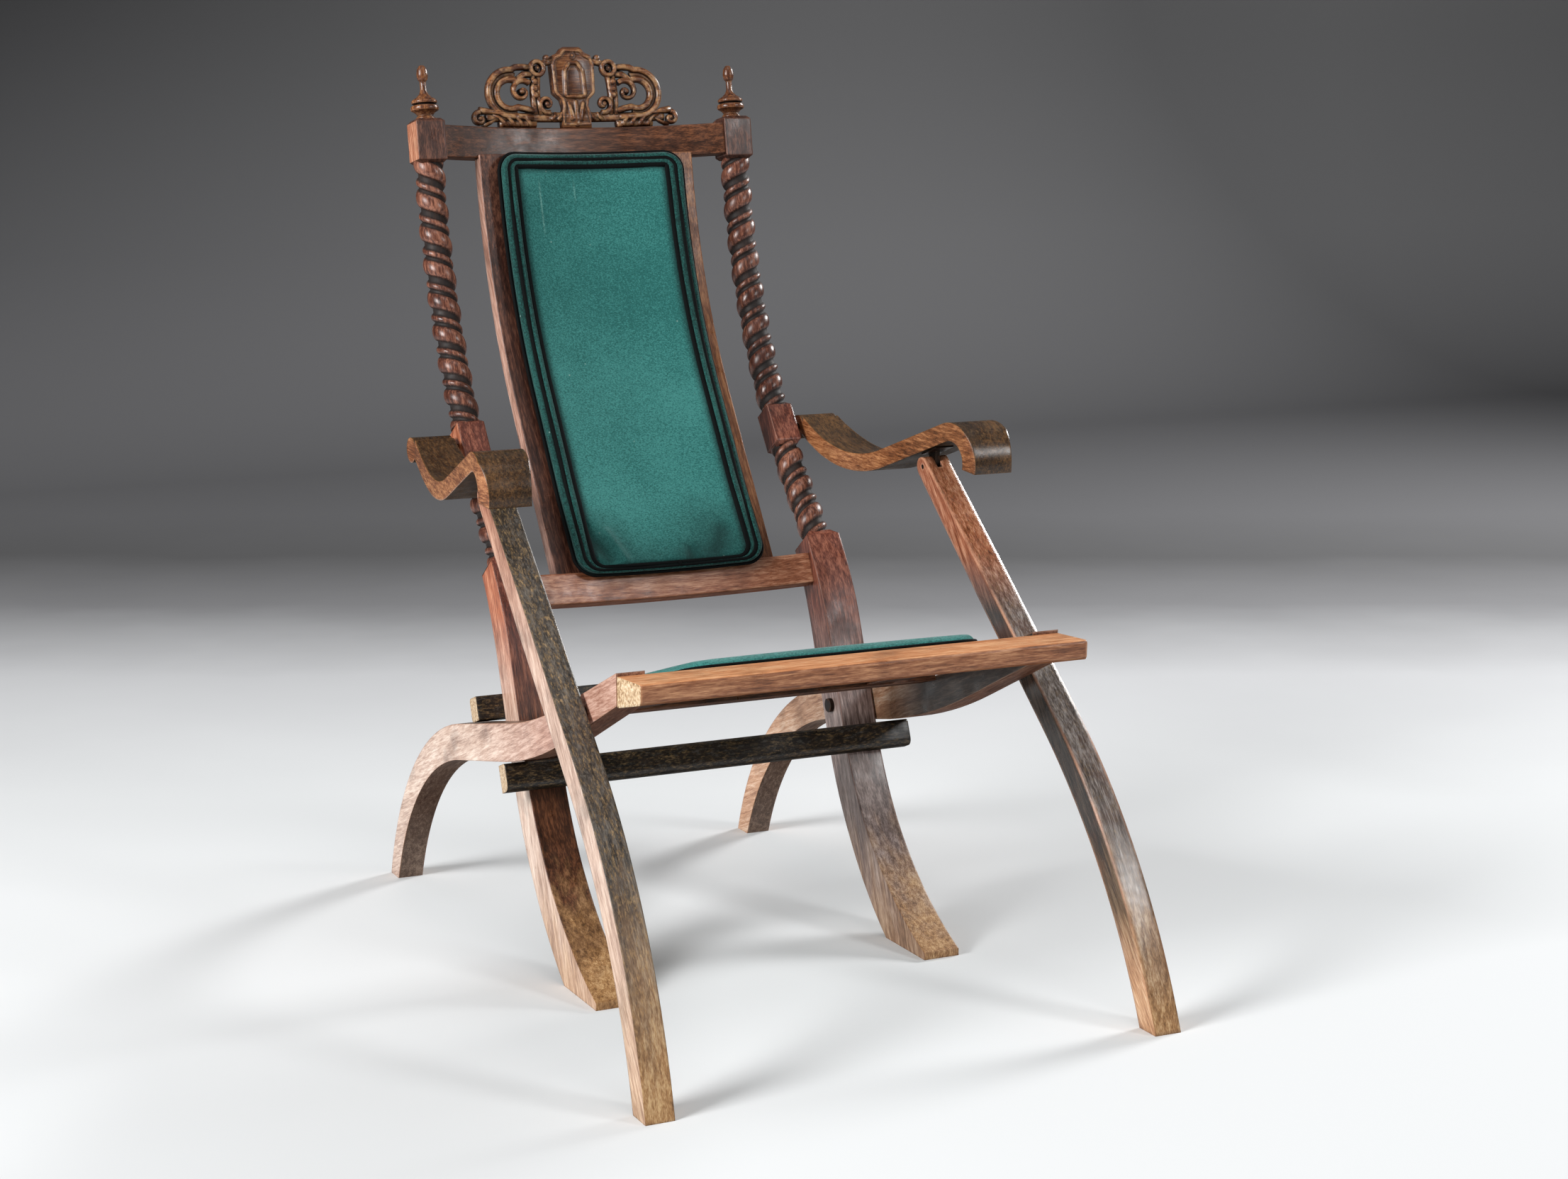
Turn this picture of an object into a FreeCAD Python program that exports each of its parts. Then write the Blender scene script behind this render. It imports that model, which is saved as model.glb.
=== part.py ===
import FreeCAD
import Part
import math
import os

# Folding campaign chair with barley-twist posts, in millimetres.
# The chair faces -Y, +Y is behind the sitter, +X is the right-hand side seen from the front, floor at Z 0.
# Right-hand pieces are built and the left-hand ones mirror them, so the two twists run opposite ways.

V = FreeCAD.Vector
doc = FreeCAD.newDocument("CampaignChair")

# Driving dimensions.
SIZES = {
    "post_inner": 194.5,
    "post_width": 48.0,
    "post_centre": 219.0,
    "post_depth": 50.0,
    "shoulder_depth": 42.0,
    "shoulder_height": 470.0,
    "arm_block_low": 582.0,
    "arm_block_high": 634.0,
    "arm_block_side": 36.0,
    "top_block_low": 962.0,
    "top_block_side": 39.0,
    "twist_pitch": 44.5,
    "twist_radius": 20.0,
    "bead_radius": 18.4,
    "groove_radius": 14.8,
    "finial_length": 71.0,
    "rail_inner": 245.0,
    "rail_width": 34.0,
    "front_rail_length": 556.0,
    "front_rail_depth": 66.0,
    "front_rail_height": 35.0,
    "front_rail_lip": 22.5,
    "rear_rail_depth": 40.0,
    "rear_rail_height": 25.0,
    "seat_stile_inner": 148.0,
    "seat_stile_width": 40.0,
    "seat_stile_depth": 22.0,
    "seat_pad_half": 184.0,
    "seat_pad_edge": 12.0,
    "seat_pad_crown": 8.0,
    "stretcher_length": 554.0,
    "front_stretcher_depth": 22.0,
    "front_stretcher_height": 34.0,
    "rear_stretcher_depth": 25.0,
    "rear_stretcher_height": 30.0,
    "back_stile_inner": 114.0,
    "back_stile_width": 38.0,
    "back_stile_depth": 21.0,
    "back_pad_half": 131.0,
    "back_pad_edge": 13.0,
    "back_pad_crown": 9.0,
    "top_rail_height": 42.0,
    "top_rail_depth": 24.0,
    "top_rail_sag": 34.0,
    "lower_rail_height": 40.0,
    "lower_rail_depth": 24.0,
    "lower_rail_sag": 14.0,
    "back_lean": 11.0,
    "leg_inner": 285.0,
    "leg_width": 34.0,
    "leg_depth": 34.0,
    "leg_top_depth": 25.0,
    "leg_splay": 2.0,
    "arm_thickness": 23.0,
    "arm_end_radius": 16.0,
    "crest_depth": 16.0,
    "seat_bolt_radius": 5.0,
    "arm_pin_radius": 4.5,
    "hinge_pin_radius": 3.0,
    "leg_bolt_radius": 4.5,
    "running_gap": 0.05,
    "blind_cover": 8.0,
    "tongue_width": 6.0,
    "tongue_slot": 7.0,
}

# Pivots as (y, z).
SEAT_PIVOT = (109.0, 270.5)
ARM_PIVOT = (316.5, 608.0)
LEG_PIVOT = (-218.0, 374.0)
HINGE_PIVOT = (20.0, 589.0)

sheet = doc.addObject("Spreadsheet::Sheet", "sizes")
for row, (alias, value) in enumerate(SIZES.items(), start=1):
    sheet.set("A%d" % row, alias)
    sheet.set("B%d" % row, str(value))
    sheet.setAlias("B%d" % row, alias)
doc.recompute()


def size(alias):
    return float(sheet.get(alias))


class CentreLine:
    """A timber's line seen from the side: a start, a heading in degrees from upright towards
    the back, and runs of (length, turn)."""

    def __init__(self, y, z, heading, runs):
        self.stations = [(0.0, y, z, math.radians(heading))]
        self.bends = []
        for length, turn in runs:
            s, y, z, h = self.stations[-1]
            bend = math.radians(turn) / length
            self.bends.append(bend)
            self.stations.append((s + length,) + self.advance(y, z, h, bend, length))
        self.length = self.stations[-1][0]

    @staticmethod
    def advance(y, z, h, bend, run):
        if abs(bend) < 1e-9:
            return (y + run * math.sin(h), z + run * math.cos(h), h)
        g = h + bend * run
        return (y + (math.cos(h) - math.cos(g)) / bend, z + (math.sin(g) - math.sin(h)) / bend, g)

    def at(self, s):
        index = 0
        for k in range(len(self.bends)):
            if self.stations[k][0] <= s:
                index = k
        start, y, z, h = self.stations[index]
        return self.advance(y, z, h, self.bends[index], s - start)

    def beside(self, s, out):
        """Point at a distance behind (positive) or before the line, as sketch x, y."""
        y, z, h = self.at(s)
        return V(y + out * math.cos(h), z - out * math.sin(h), 0)

    def reaching(self, axis, value):
        """Length along the line at which it passes a y (axis 0) or a height (axis 1)."""
        low, high = 0.0, self.length
        for _ in range(50):
            mid = (low + high) / 2
            if self.at(mid)[axis] < value:
                low = mid
            else:
                high = mid
        return (low + high) / 2

    def at_height(self, height):
        return self.reaching(1, height)


POST = CentreLine(-99.4, 0, 59.6, [(310.8, -39.6), (137.7, 0), (174.2, 24.3), (490, -34.5), (90, 0)])
LEG = CentreLine(-491.1, 0, 18.5, [(390.4, 29.9), (430, 0)])
RAIL = CentreLine(493.4, 0, -18.5, [(389, -59.5), (173, 0), (204, 12.2), (230, 0)])
BACK = CentreLine(200, 463, 33.4, [(240, 0), (335, -25)])
ARM = CentreLine(-79.6, 594, -10.2, [(1.1, 0), (80, 119.6), (146.3, 0), (122.2, -33.3), (88, -14)])


def between(table, s):
    """Value at s of a list of (s, value) joined by straight lines."""
    if s <= table[0][0]:
        return table[0][1]
    for (a, p), (b, q) in zip(table, table[1:]):
        if s <= b:
            return p + (q - p) * (s - a) / (b - a)
    return table[-1][1]


def curve(p, m, q):
    """An arc through three points, or a line where they are in a row, for a sketch."""
    bulge = (q - p).cross(m - p).z
    if abs(bulge) < 1e-3 * (q - p).Length:
        return Part.LineSegment(p, q)
    if bulge < 0:
        return Part.Arc(p, m, q)
    return Part.Arc(q, m, p)


def timber_outline(line, first, last, depths):
    """Closed side outline of a timber whose half depth follows a table along its line."""
    inner = [s for s, _, _, _ in line.stations] + [s for s, _ in depths]
    cuts = [first] + sorted({round(s, 6) for s in inner if first + 1 < s < last - 1}) + [last]
    edges = []
    for side in (-1, 1):
        for a, b in zip(cuts, cuts[1:]):
            points = [line.beside(s, side * between(depths, s)) for s in (a, (a + b) / 2, b)]
            edges.append(curve(*points))
    for s in (first, last):
        half = between(depths, s)
        edges.append(Part.LineSegment(line.beside(s, -half), line.beside(s, half)))
    return edges


def rounded(corners):
    """Closed outline through (x, y, radius) corners, each rounded by its radius."""
    edges = []
    ends = []
    count = len(corners)
    for i in range(count):
        before, here, after = (V(*corners[k % count][:2], 0) for k in (i - 1, i, i + 1))
        radius = corners[i][2]
        if radius <= 0:
            ends.append((here, here))
            continue
        to_before = (before - here).normalize()
        to_after = (after - here).normalize()
        half = to_before.getAngle(to_after) / 2
        reach = radius / math.tan(half)
        middle = here + (to_before + to_after).normalize() * (radius / math.sin(half) - radius)
        start, end = here + to_before * reach, here + to_after * reach
        edges.append(curve(start, middle, end))
        ends.append((start, end))
    for i in range(count):
        a, b = ends[i - 1][1], ends[i][0]
        if (b - a).Length > 1e-6:
            edges.append(Part.LineSegment(a, b))
    return edges


def turned(points, centre, angle):
    """Corner list turned by an angle in degrees and moved to a centre."""
    c, s = math.cos(math.radians(angle)), math.sin(math.radians(angle))
    return [(centre[0] + c * x - s * y, centre[1] + s * x + c * y, r) for x, y, r in points]


def bar_corners(depth, height, radii):
    d, h = depth / 2, height / 2
    return [(-d, -h, radii[0]), (d, -h, radii[1]), (d, h, radii[2]), (-d, h, radii[3])]


def padded(name, edges, role, length, offset=None, midplane=False, placement=None):
    """A body with one sketch on an origin plane and one pad bound to the sheet."""
    body = doc.addObject("PartDesign::Body", name)
    sketch = body.newObject("Sketcher::SketchObject", name + "_outline")
    plane = [f for f in body.Origin.OriginFeatures if f.Role == role][0]
    sketch.AttachmentSupport = [(plane, "")]
    sketch.MapMode = "FlatFace"
    sketch.addGeometry(edges, False)
    if offset:
        sketch.setExpression("AttachmentOffset.Base.z", offset)
    pad = body.newObject("PartDesign::Pad", name + "_pad")
    pad.Profile = sketch
    pad.setExpression("Length", length)
    pad.Midplane = midplane
    if placement:
        body.Placement = placement
    return body


def cylinder_x(name, radius, x0, x1, pivot):
    """A round bar along X at a pivot, its radius bound to the sheet."""
    bar = doc.addObject("Part::Cylinder", name)
    bar.setExpression("Radius", radius)
    bar.Height = x1 - x0
    bar.Placement = FreeCAD.Placement(V(x0, pivot[0], pivot[1]), FreeCAD.Rotation(V(0, 1, 0), 90))
    return bar


def cut(name, base, tool):
    result = doc.addObject("Part::Cut", name)
    result.Base = base
    result.Tool = tool
    return result


def fuse(name, shapes):
    result = doc.addObject("Part::MultiFuse", name)
    result.Shapes = shapes
    return result


def solid_feature(name, shape):
    feature = doc.addObject("Part::Feature", name)
    feature.Shape = shape
    return feature


nodes = []


def node(name, source):
    source.Label = name
    nodes.append(source)
    return source


def mirrored(name, source):
    twin = doc.addObject("Part::Mirroring", name)
    twin.Source = source
    twin.Normal = V(1, 0, 0)
    return node(name, twin)


def pair(name, source):
    """A right-hand piece and its mirror image."""
    return [node("right_" + name, source), mirrored("left_" + name, source)]


floor = doc.addObject("Part::Box", "floor_block")
floor.Length, floor.Width, floor.Height = 1000, 1400, 200
floor.Placement.Base = V(-500, -700, -200)


# Barley-twist posts.

def ring_section(line, s, centre, points):
    """Closed polygon square to a line at s from (across, behind) points."""
    y, z, h = line.at(s)
    across, behind = V(1, 0, 0), V(0, math.cos(h), -math.sin(h))
    corners = [V(centre, y, z) + across * a + behind * b for a, b in points]
    return Part.makePolygon(corners + corners[:1])


def block(line, first, last, centre, side, chamfer):
    """A square block along a line with chamfered ends."""
    sections = []
    for s, trim in ((first, chamfer), (first + chamfer, 0), (last - chamfer, 0), (last, chamfer)):
        half = side / 2 - trim
        corners = [(-half, -half), (half, -half), (half, half), (-half, half)]
        sections.append(ring_section(line, s, centre, corners))
    return Part.makeLoft(sections, True, True)


def faceted(sections):
    """Closed solid of flat facets through polygons with equal numbers of corners."""
    rings = [[v.Point for v in wire.OrderedVertexes] for wire in sections]
    faces = [Part.Face(sections[0]), Part.Face(sections[-1])]
    for low, high in zip(rings, rings[1:]):
        for k in range(len(low)):
            a, b, c, d = low[k - 1], low[k], high[k], high[k - 1]
            faces.append(Part.Face(Part.makePolygon([a, b, c, a])))
            faces.append(Part.Face(Part.makePolygon([a, c, d, a])))
    shell = Part.makeShell(faces)
    shell.sewShape()
    solid = Part.makeSolid(shell)
    if solid.Volume < 0:
        solid.reverse()
    return solid


def twist(line, first, last, centre):
    """A fat rope and a thin bead wound round the line, with a wide groove below the rope and a narrow
    one below the bead; profile points are (part of a turn, radius)."""
    groove, bead, rope = size("groove_radius"), size("bead_radius"), size("twist_radius")
    shoulder = (groove + 2 * rope) / 3
    profile = [(0.0, groove), (0.05, shoulder), (0.14, rope - 0.4), (0.24, rope), (0.34, rope - 0.4),
               (0.43, shoulder), (0.50, groove), (0.68, groove), (0.73, bead - 0.7), (0.79, bead),
               (0.85, bead - 0.7), (0.91, groove)]
    steps = int(round((last - first) / size("twist_pitch") * 10))
    sections = []
    for k in range(steps + 1):
        s = first + (last - first) * k / steps
        turn = (s - first) / size("twist_pitch")
        points = []
        for phase, radius in profile:
            angle = 2 * math.pi * (phase + turn)
            points.append((radius * math.sin(angle), -radius * math.cos(angle)))
        sections.append(ring_section(line, s, centre, points))
    return faceted(sections)


shoulder_end = POST.at_height(size("shoulder_height"))
block_low = POST.at_height(size("arm_block_low"))
block_high = POST.at_height(size("arm_block_high"))
top_low = POST.at_height(size("top_block_low"))
top_end = POST.length - 10
half_post = size("post_depth") / 2
post_depths = [(-40, half_post + 6), (180, half_post), (shoulder_end - 90, half_post - 1),
               (shoulder_end, size("shoulder_depth") / 2)]
timber = padded("post_timber", timber_outline(POST, -70, shoulder_end, post_depths), "YZ_Plane",
                "sizes.post_width", "sizes.post_inner")
toe = doc.addObject("Part::Box", "toe_block")
toe.Length, toe.Width, toe.Height = 100, 60, 80
toe.Placement.Base = V(170, -209, -10)
timber = cut("post_foot", timber, fuse("foot_cutters", [floor, toe]))
shoulder_half = size("shoulder_depth") / 2
shoulder_shape = Part.makeLoft([
    ring_section(POST, shoulder_end, size("post_centre"), [
        (sx * size("post_width") / 2, sy * shoulder_half)
        for sx, sy in ((-1, -1), (1, -1), (1, 1), (-1, 1))]),
    ring_section(POST, shoulder_end + 9, size("post_centre"), [
        (sx * 15, sy * 15) for sx, sy in ((-1, -1), (1, -1), (1, 1), (-1, 1))])], True, True)
centre = size("post_centre")
pieces = [
    timber,
    solid_feature("post_shoulder", shoulder_shape),
    solid_feature("lower_twist", twist(POST, shoulder_end + 4, block_low + 4, centre)),
    solid_feature("arm_block", block(POST, block_low, block_high, centre, size("arm_block_side"), 5)),
    solid_feature("upper_twist", twist(POST, block_high - 4, top_low + 4, centre)),
    solid_feature("top_block", block(POST, top_low, top_end, centre, size("top_block_side"), 4)),
]
post_whole = fuse("post_whole", pieces)
post_bore = cylinder_x("post_bore", "sizes.seat_bolt_radius + sizes.running_gap", 180, 260, SEAT_PIVOT)
arm_socket = cylinder_x("arm_socket", "sizes.arm_pin_radius", 213, 260, ARM_PIVOT)
pair("post", cut("post_bored", post_whole, fuse("post_holes", [post_bore, arm_socket])))

# Turned finials, each a bud on a neck above two collars and a cup.
FINIAL = [(0, 0), (12.5, 0), (12.5, 2), (10, 5), (13, 9), (18, 12), (18.5, 14.5), (17.5, 17.5), (13, 19),
          (16.5, 21), (17, 23.5), (15, 26), (10, 29), (6, 33), (4, 38), (4, 49), (6.5, 52), (7.5, 58),
          (6.5, 65), (3.5, 70), (0, 71)]
scale = size("finial_length") / FINIAL[-1][1]
finial = doc.addObject("PartDesign::Body", "finial")
profile = finial.newObject("Sketcher::SketchObject", "finial_profile")
profile.AttachmentSupport = [([f for f in finial.Origin.OriginFeatures if f.Role == "XZ_Plane"][0], "")]
profile.MapMode = "FlatFace"
ring = [V(r, t * scale, 0) for r, t in FINIAL]
profile.addGeometry([Part.LineSegment(a, b) for a, b in zip(ring, ring[1:] + ring[:1])], False)
lathe = finial.newObject("PartDesign::Revolution", "finial_turning")
lathe.Profile = profile
lathe.ReferenceAxis = (profile, ["V_Axis"])
lathe.Angle = 360
tip_y, tip_z, tip_heading = POST.at(top_end)
finial.Placement = FreeCAD.Placement(V(centre, tip_y, tip_z),
                                     FreeCAD.Rotation(V(1, 0, 0), -math.degrees(tip_heading)))
pair("finial", finial)


# Rails, stiles and crest of the back.

def leaning(y, z, lean):
    return FreeCAD.Placement(V(0, y, z), FreeCAD.Rotation(V(1, 0, 0), -lean))


def bowed_rail(name, half, sag, depth, length, placement):
    """A rail bowed towards the back in plan, padded up its height."""
    edges = [
        curve(V(-half, 0, 0), V(0, sag, 0), V(half, 0, 0)),
        curve(V(-half, depth, 0), V(0, sag + depth, 0), V(half, depth, 0)),
        Part.LineSegment(V(-half, 0, 0), V(-half, depth, 0)),
        Part.LineSegment(V(half, 0, 0), V(half, depth, 0)),
    ]
    return padded(name, edges, "XY_Plane", length, placement=placement)


TOP_RAIL = (443.0, 971.5)
LOWER_RAIL = (160.0, 425.0)
LOWER_LEAN = 24.0
top_half = centre - size("top_block_side") / 2
top_place = leaning(TOP_RAIL[0], TOP_RAIL[1], size("back_lean"))
top_rail = node("top_rail", bowed_rail("top_rail", top_half, size("top_rail_sag"), size("top_rail_depth"),
                                       "sizes.top_rail_height", top_place))
lower_rail = node("lower_back_rail", bowed_rail("lower_back_rail", size("post_inner"), size("lower_rail_sag"),
                                                size("lower_rail_depth"), "sizes.lower_rail_height",
                                                leaning(LOWER_RAIL[0], LOWER_RAIL[1], LOWER_LEAN)))
stile_depth = size("back_stile_depth")


class Offset(CentreLine):
    """A line running at a constant distance behind another."""

    def __init__(self, line, out):
        y, z, h = line.at(0)
        point = line.beside(0, out)
        runs = []
        for (s, _, _, _), (e, _, _, _), bend in zip(line.stations, line.stations[1:], line.bends):
            length = e - s
            runs.append((length - out * bend * length, math.degrees(bend * length)))
        CentreLine.__init__(self, point.x, point.y, math.degrees(h), runs)


STILE = Offset(BACK, stile_depth / 2)
stile_edges = timber_outline(STILE, -30, STILE.length, [(0, stile_depth / 2)])
stile = padded("back_stile_blank", stile_edges, "YZ_Plane", "sizes.back_stile_width",
               "sizes.back_stile_inner")
pair("back_stile", cut("back_stile", stile, fuse("back_rails", [top_rail, lower_rail])))

crest_parts = []


def crest_bar(x0, x1, h0, h1, front, back):
    bar = doc.addObject("Part::Box", "crest_bar")
    bar.Length, bar.Width, bar.Height = x1 - x0, back - front, h1 - h0
    bar.Placement.Base = V(x0, front, h0)
    crest_parts.append(bar)


def crest_disc(x, height, radius, front, back):
    disc = doc.addObject("Part::Cylinder", "crest_disc")
    disc.Radius = radius
    disc.Height = back - front
    disc.Placement = FreeCAD.Placement(V(x, back, height), FreeCAD.Rotation(V(1, 0, 0), 90))
    return disc


full = size("crest_depth")
crest_bar(-125, 125, 8, 22, 3, full - 1)
for side in (-1, 1):
    def span(a, b):
        return (a, b) if side > 0 else (-b, -a)
    ring_hole = crest_disc(side * 89, 45, 16.5, 0, full)
    crest_parts.append(cut("crest_ring", crest_disc(side * 91, 47, 34.5, 2, full - 2), ring_hole))
    crest_parts.append(crest_disc(side * 80, 49, 7.5, 3, full - 3))
    crest_parts.append(crest_disc(side * 51, 80, 12.5, 0, full - 2))
    crest_parts.append(crest_disc(side * 42, 32, 12, 2, full - 2))
    crest_parts.append(crest_disc(side * 137, 13, 12.4, 1, full - 1))
    crest_bar(*span(49, 61), 18, 73, 3, full - 3)
    crest_bar(*span(56, 112), 0, 12, 2, full - 1)
    crest_bar(*span(108, 137), 3, 15, 3, full - 2)
    crest_bar(*span(28, 45), 85, 92, 3, full - 3)
half_shield = [(21, 0, 0), (21, 15, 3), (17.5, 27, 6), (20, 38, 5), (30, 47, 6), (31.5, 88, 6), (28, 97.5, 4),
               (19, 101.5, 4), (13, 109, 7)]
shield = half_shield + [(-x, height, radius) for x, height, radius in reversed(half_shield)]
shield_turn = FreeCAD.Placement(V(0, full, 0), FreeCAD.Rotation(V(1, 0, 0), 0))
cartouche = padded("cartouche", rounded(shield), "XZ_Plane", "sizes.crest_depth", placement=shield_turn)
niche_box = doc.addObject("Part::Box", "niche_box")
niche_box.Length, niche_box.Width, niche_box.Height = 26, 8, 35
niche_box.Placement.Base = V(-13, -3, 39)
niche = fuse("niche", [niche_box, crest_disc(0, 74, 13, -3, 5)])
crest_parts.append(cut("cartouche_niche", cartouche, niche))
crest = fuse("crest", crest_parts)
crest_foot = top_place.multVec(V(0, 30, size("top_rail_height")))
crest.Placement = leaning(crest_foot.y, crest_foot.z, size("back_lean"))
node("crest", crest)


# Cross bars at the seat pivots.

def cross_bar(name, centre_yz, angle, depth, height, radii, length):
    edges = rounded(turned(bar_corners(depth, height, radii), centre_yz, angle))
    return padded(name, edges, "YZ_Plane", length, midplane=True)


def post_face(height, side):
    """Point on the front (-1) or back (1) face of the post at a height on its line."""
    s = POST.at_height(height)
    point = POST.beside(s, side * half_post)
    return point, POST.at(s)[2]


face, heading = post_face(223.0, -1)
out = size("front_stretcher_depth") / 2
front_centre = (face.x - out * math.cos(heading), face.y + out * math.sin(heading))
front_bar = cross_bar("front_stretcher", front_centre, -math.degrees(heading), size("front_stretcher_depth"),
                      size("front_stretcher_height"), (9, 0, 0, 5), "sizes.stretcher_length")
node("front_stretcher", front_bar)
face, heading = post_face(313.5, 1)
out = size("rear_stretcher_depth") / 2
rear_centre = (face.x + out * math.cos(heading), face.y - out * math.sin(heading))
rear_bar = cross_bar("rear_stretcher", rear_centre, -math.degrees(heading), size("rear_stretcher_depth"),
                     size("rear_stretcher_height"), (0, 5, 5, 0), "sizes.stretcher_length")
node("rear_stretcher", rear_bar)

# Seat frame: front and rear cross rails, side rails running into the rear legs, and two inner bearers.
rail_back = -311.0
rail_lip = rail_back - size("front_rail_depth")
rail_top, lip_top = 435.0, 438.5
front_section = rounded([(rail_back, rail_top, 1.5), (rail_lip - 0.5, lip_top, 4),
                         (rail_lip + 0.5, lip_top - size("front_rail_lip"), 6),
                         (rail_back, rail_top - size("front_rail_height"), 3)])
front_rail = padded("seat_front_rail", front_section, "YZ_Plane", "sizes.front_rail_length", midplane=True)
node("seat_front_rail", front_rail)
front_space = doc.addObject("Part::Box", "front_space")
front_space.Length, front_space.Width, front_space.Height = 700, 120, 200
front_space.Placement.Base = V(-350, rail_back - 120, 340)
SEAT = CentreLine(-334.2, 426.6, 106.6, [(390, 0)])
rear_y, rear_z, seat_heading = SEAT.at(290)
rear_section = turned(bar_corners(size("rear_rail_depth"), size("rear_rail_height"), (0, 0, 0, 0)),
                      (rear_y, rear_z - 1.5), 90 - math.degrees(seat_heading))
rear_blank = padded("rear_rail_blank", rounded(rear_section), "YZ_Plane", "2 * sizes.rail_inner",
                    midplane=True)
rail_depths = [(0, 15), (389, 23), (562, 23.5), (766, 19.8), (996, 16)]
rail_blank = padded("rail_blank", timber_outline(RAIL, -30, 965, rail_depths), "YZ_Plane",
                    "sizes.rail_width", "sizes.rail_inner")
rail_outer = size("rail_inner") + size("rail_width")
blind_rail = rail_outer - size("blind_cover")
rail_bolt_hole = cylinder_x("rail_bolt_hole", "sizes.seat_bolt_radius", 240, blind_rail, SEAT_PIVOT)
rail_cutters = fuse("rail_cutters", [floor, front_space, rail_bolt_hole])
pair("seat_rail", cut("seat_rail", rail_blank, rail_cutters))
bearer_half = size("seat_stile_depth") / 2
bearer = padded("bearer_blank", timber_outline(SEAT, 0, 380, [(0, bearer_half)]), "YZ_Plane",
                "sizes.seat_stile_width", "sizes.seat_stile_inner")
halving = doc.addObject("Part::Common", "bearer_halving")
halving.Base = rear_blank
below_line = timber_outline(Offset(SEAT, 20), 240, 340, [(0, 20)])
halving.Tool = padded("below_seat_line", below_line, "YZ_Plane", "600", midplane=True)
bearers = pair("seat_stile", cut("seat_stile", bearer, fuse("bearer_ends", [front_space, halving])))
node("seat_rear_rail", cut("seat_rear_rail", rear_blank, fuse("bearer_pair", bearers)))


# Upholstered pads: crowned on the face, drawn in at the edges.

def pad_section(line, s, half, rear, thick, crown, bow):
    """Closed section across a pad: a flat or bowed rear, narrow sides and a crowned face."""
    y, z, h = line.at(s)

    def point(x, behind):
        return V(x, y + behind * math.cos(h), z - behind * math.sin(h))

    face = rear - thick
    inset = half - 4
    rear_mid = rear + bow
    face_mid = face + bow - crown
    edges = [
        Part.Arc(point(-inset, rear), point(0, rear_mid), point(inset, rear)).toShape()
        if bow else Part.makeLine(point(-inset, rear), point(inset, rear)),
        Part.makeLine(point(inset, rear), point(half, face + thick * 0.55)),
        Part.makeLine(point(half, face + thick * 0.55), point(inset, face)),
        Part.Arc(point(inset, face), point(0, face_mid), point(-inset, face)).toShape(),
        Part.makeLine(point(-inset, face), point(-half, face + thick * 0.55)),
        Part.makeLine(point(-half, face + thick * 0.55), point(-inset, rear)),
    ]
    return Part.Wire(edges)


def cushion(line, first, last, half, rear, thick, crown, bow_first, bow_last, forward=0.0):
    """Loft of sections along a line; the ends and corners are drawn in."""
    stations = [(0.0, 0.90, 0.30), (0.015, 0.97, 0.80), (0.05, 1.0, 1.0), (0.2, 1.0, 1.0), (0.4, 1.0, 1.0),
                (0.6, 1.0, 1.0), (0.8, 1.0, 1.0), (0.95, 1.0, 1.0), (0.985, 0.97, 0.80), (1.0, 0.90, 0.30)]
    sections = []
    for t, wide, full_depth in stations:
        s = first + (last - first) * t
        swell = crown * math.sin(math.pi * min(max(t, 0.02), 0.98)) ** 0.5
        bow = bow_first + (bow_last - bow_first) * t
        stand = rear - forward * max(0.0, 1 - 5 * t)
        sections.append(pad_section(line, s, half * wide, stand, thick * full_depth, swell, bow))
    return Part.makeLoft(sections, True, True)


back_pad = solid_feature("back_pad", cushion(BACK, -22, BACK.at_height(988), size("back_pad_half"), -7.0,
                                             size("back_pad_edge"), size("back_pad_crown"), 6.0, 24.0, 8.0))
node("back_pad", back_pad)
SEAT_TOP = Offset(SEAT, -bearer_half)
seat_pad = solid_feature("seat_pad", cushion(SEAT_TOP, 28, 380, size("seat_pad_half"), -0.4,
                                             size("seat_pad_edge"), size("seat_pad_crown"), 0.0, 0.0))
node("seat_pad", seat_pad)

# Front legs, splayed outwards, with a rounded and slotted head for the arm hinge.
hinge_at = LEG.at_height(HINGE_PIVOT[1])
leg_half = size("leg_depth") / 2
head = size("leg_top_depth") / 2
leg_depths = [(0, leg_half - 1), (300, leg_half), (600, leg_half - 1), (hinge_at, head)]
leg_blank = padded("leg_blank", timber_outline(LEG, -40, hinge_at, leg_depths), "YZ_Plane",
                   "sizes.leg_width", "sizes.leg_inner")
head_yz = LEG.at(hinge_at)[:2]
leg_head = cylinder_x("leg_head", "sizes.leg_top_depth / 2", size("leg_inner"),
                      size("leg_inner") + size("leg_width"), head_yz)
leg_whole = fuse("leg_whole", [leg_blank, leg_head])
middle = V(size("leg_inner") + size("leg_width") / 2, LEG_PIVOT[0], LEG_PIVOT[1])
leg_whole.Placement = FreeCAD.Placement(V(0, 0, 0), FreeCAD.Rotation(V(0, 1, 0), -size("leg_splay")), middle)
head_x = middle.x - math.tan(math.radians(size("leg_splay"))) * (HINGE_PIVOT[1] - LEG_PIVOT[1])
slot = doc.addObject("Part::Box", "leg_slot")
slot.setExpression("Length", "sizes.tongue_slot")
slot.Width, slot.Height = 60, 60
slot_turn = math.degrees(LEG.at(hinge_at)[2])
slot_rotation = FreeCAD.Rotation(V(1, 0, 0), -slot_turn)
slot_start = V(head_x - size("tongue_slot") / 2, *HINGE_PIVOT) + slot_rotation.multVec(V(0, -30, -11))
slot.Placement = FreeCAD.Placement(slot_start, slot_rotation)
hinge_hole = cylinder_x("hinge_hole", "sizes.hinge_pin_radius", 260, 330, HINGE_PIVOT)
leg_outer = size("leg_inner") + size("leg_width")
blind_leg = leg_outer - size("blind_cover")
bolt_hole = cylinder_x("leg_bolt_hole", "sizes.leg_bolt_radius", 270, blind_leg, LEG_PIVOT)
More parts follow.
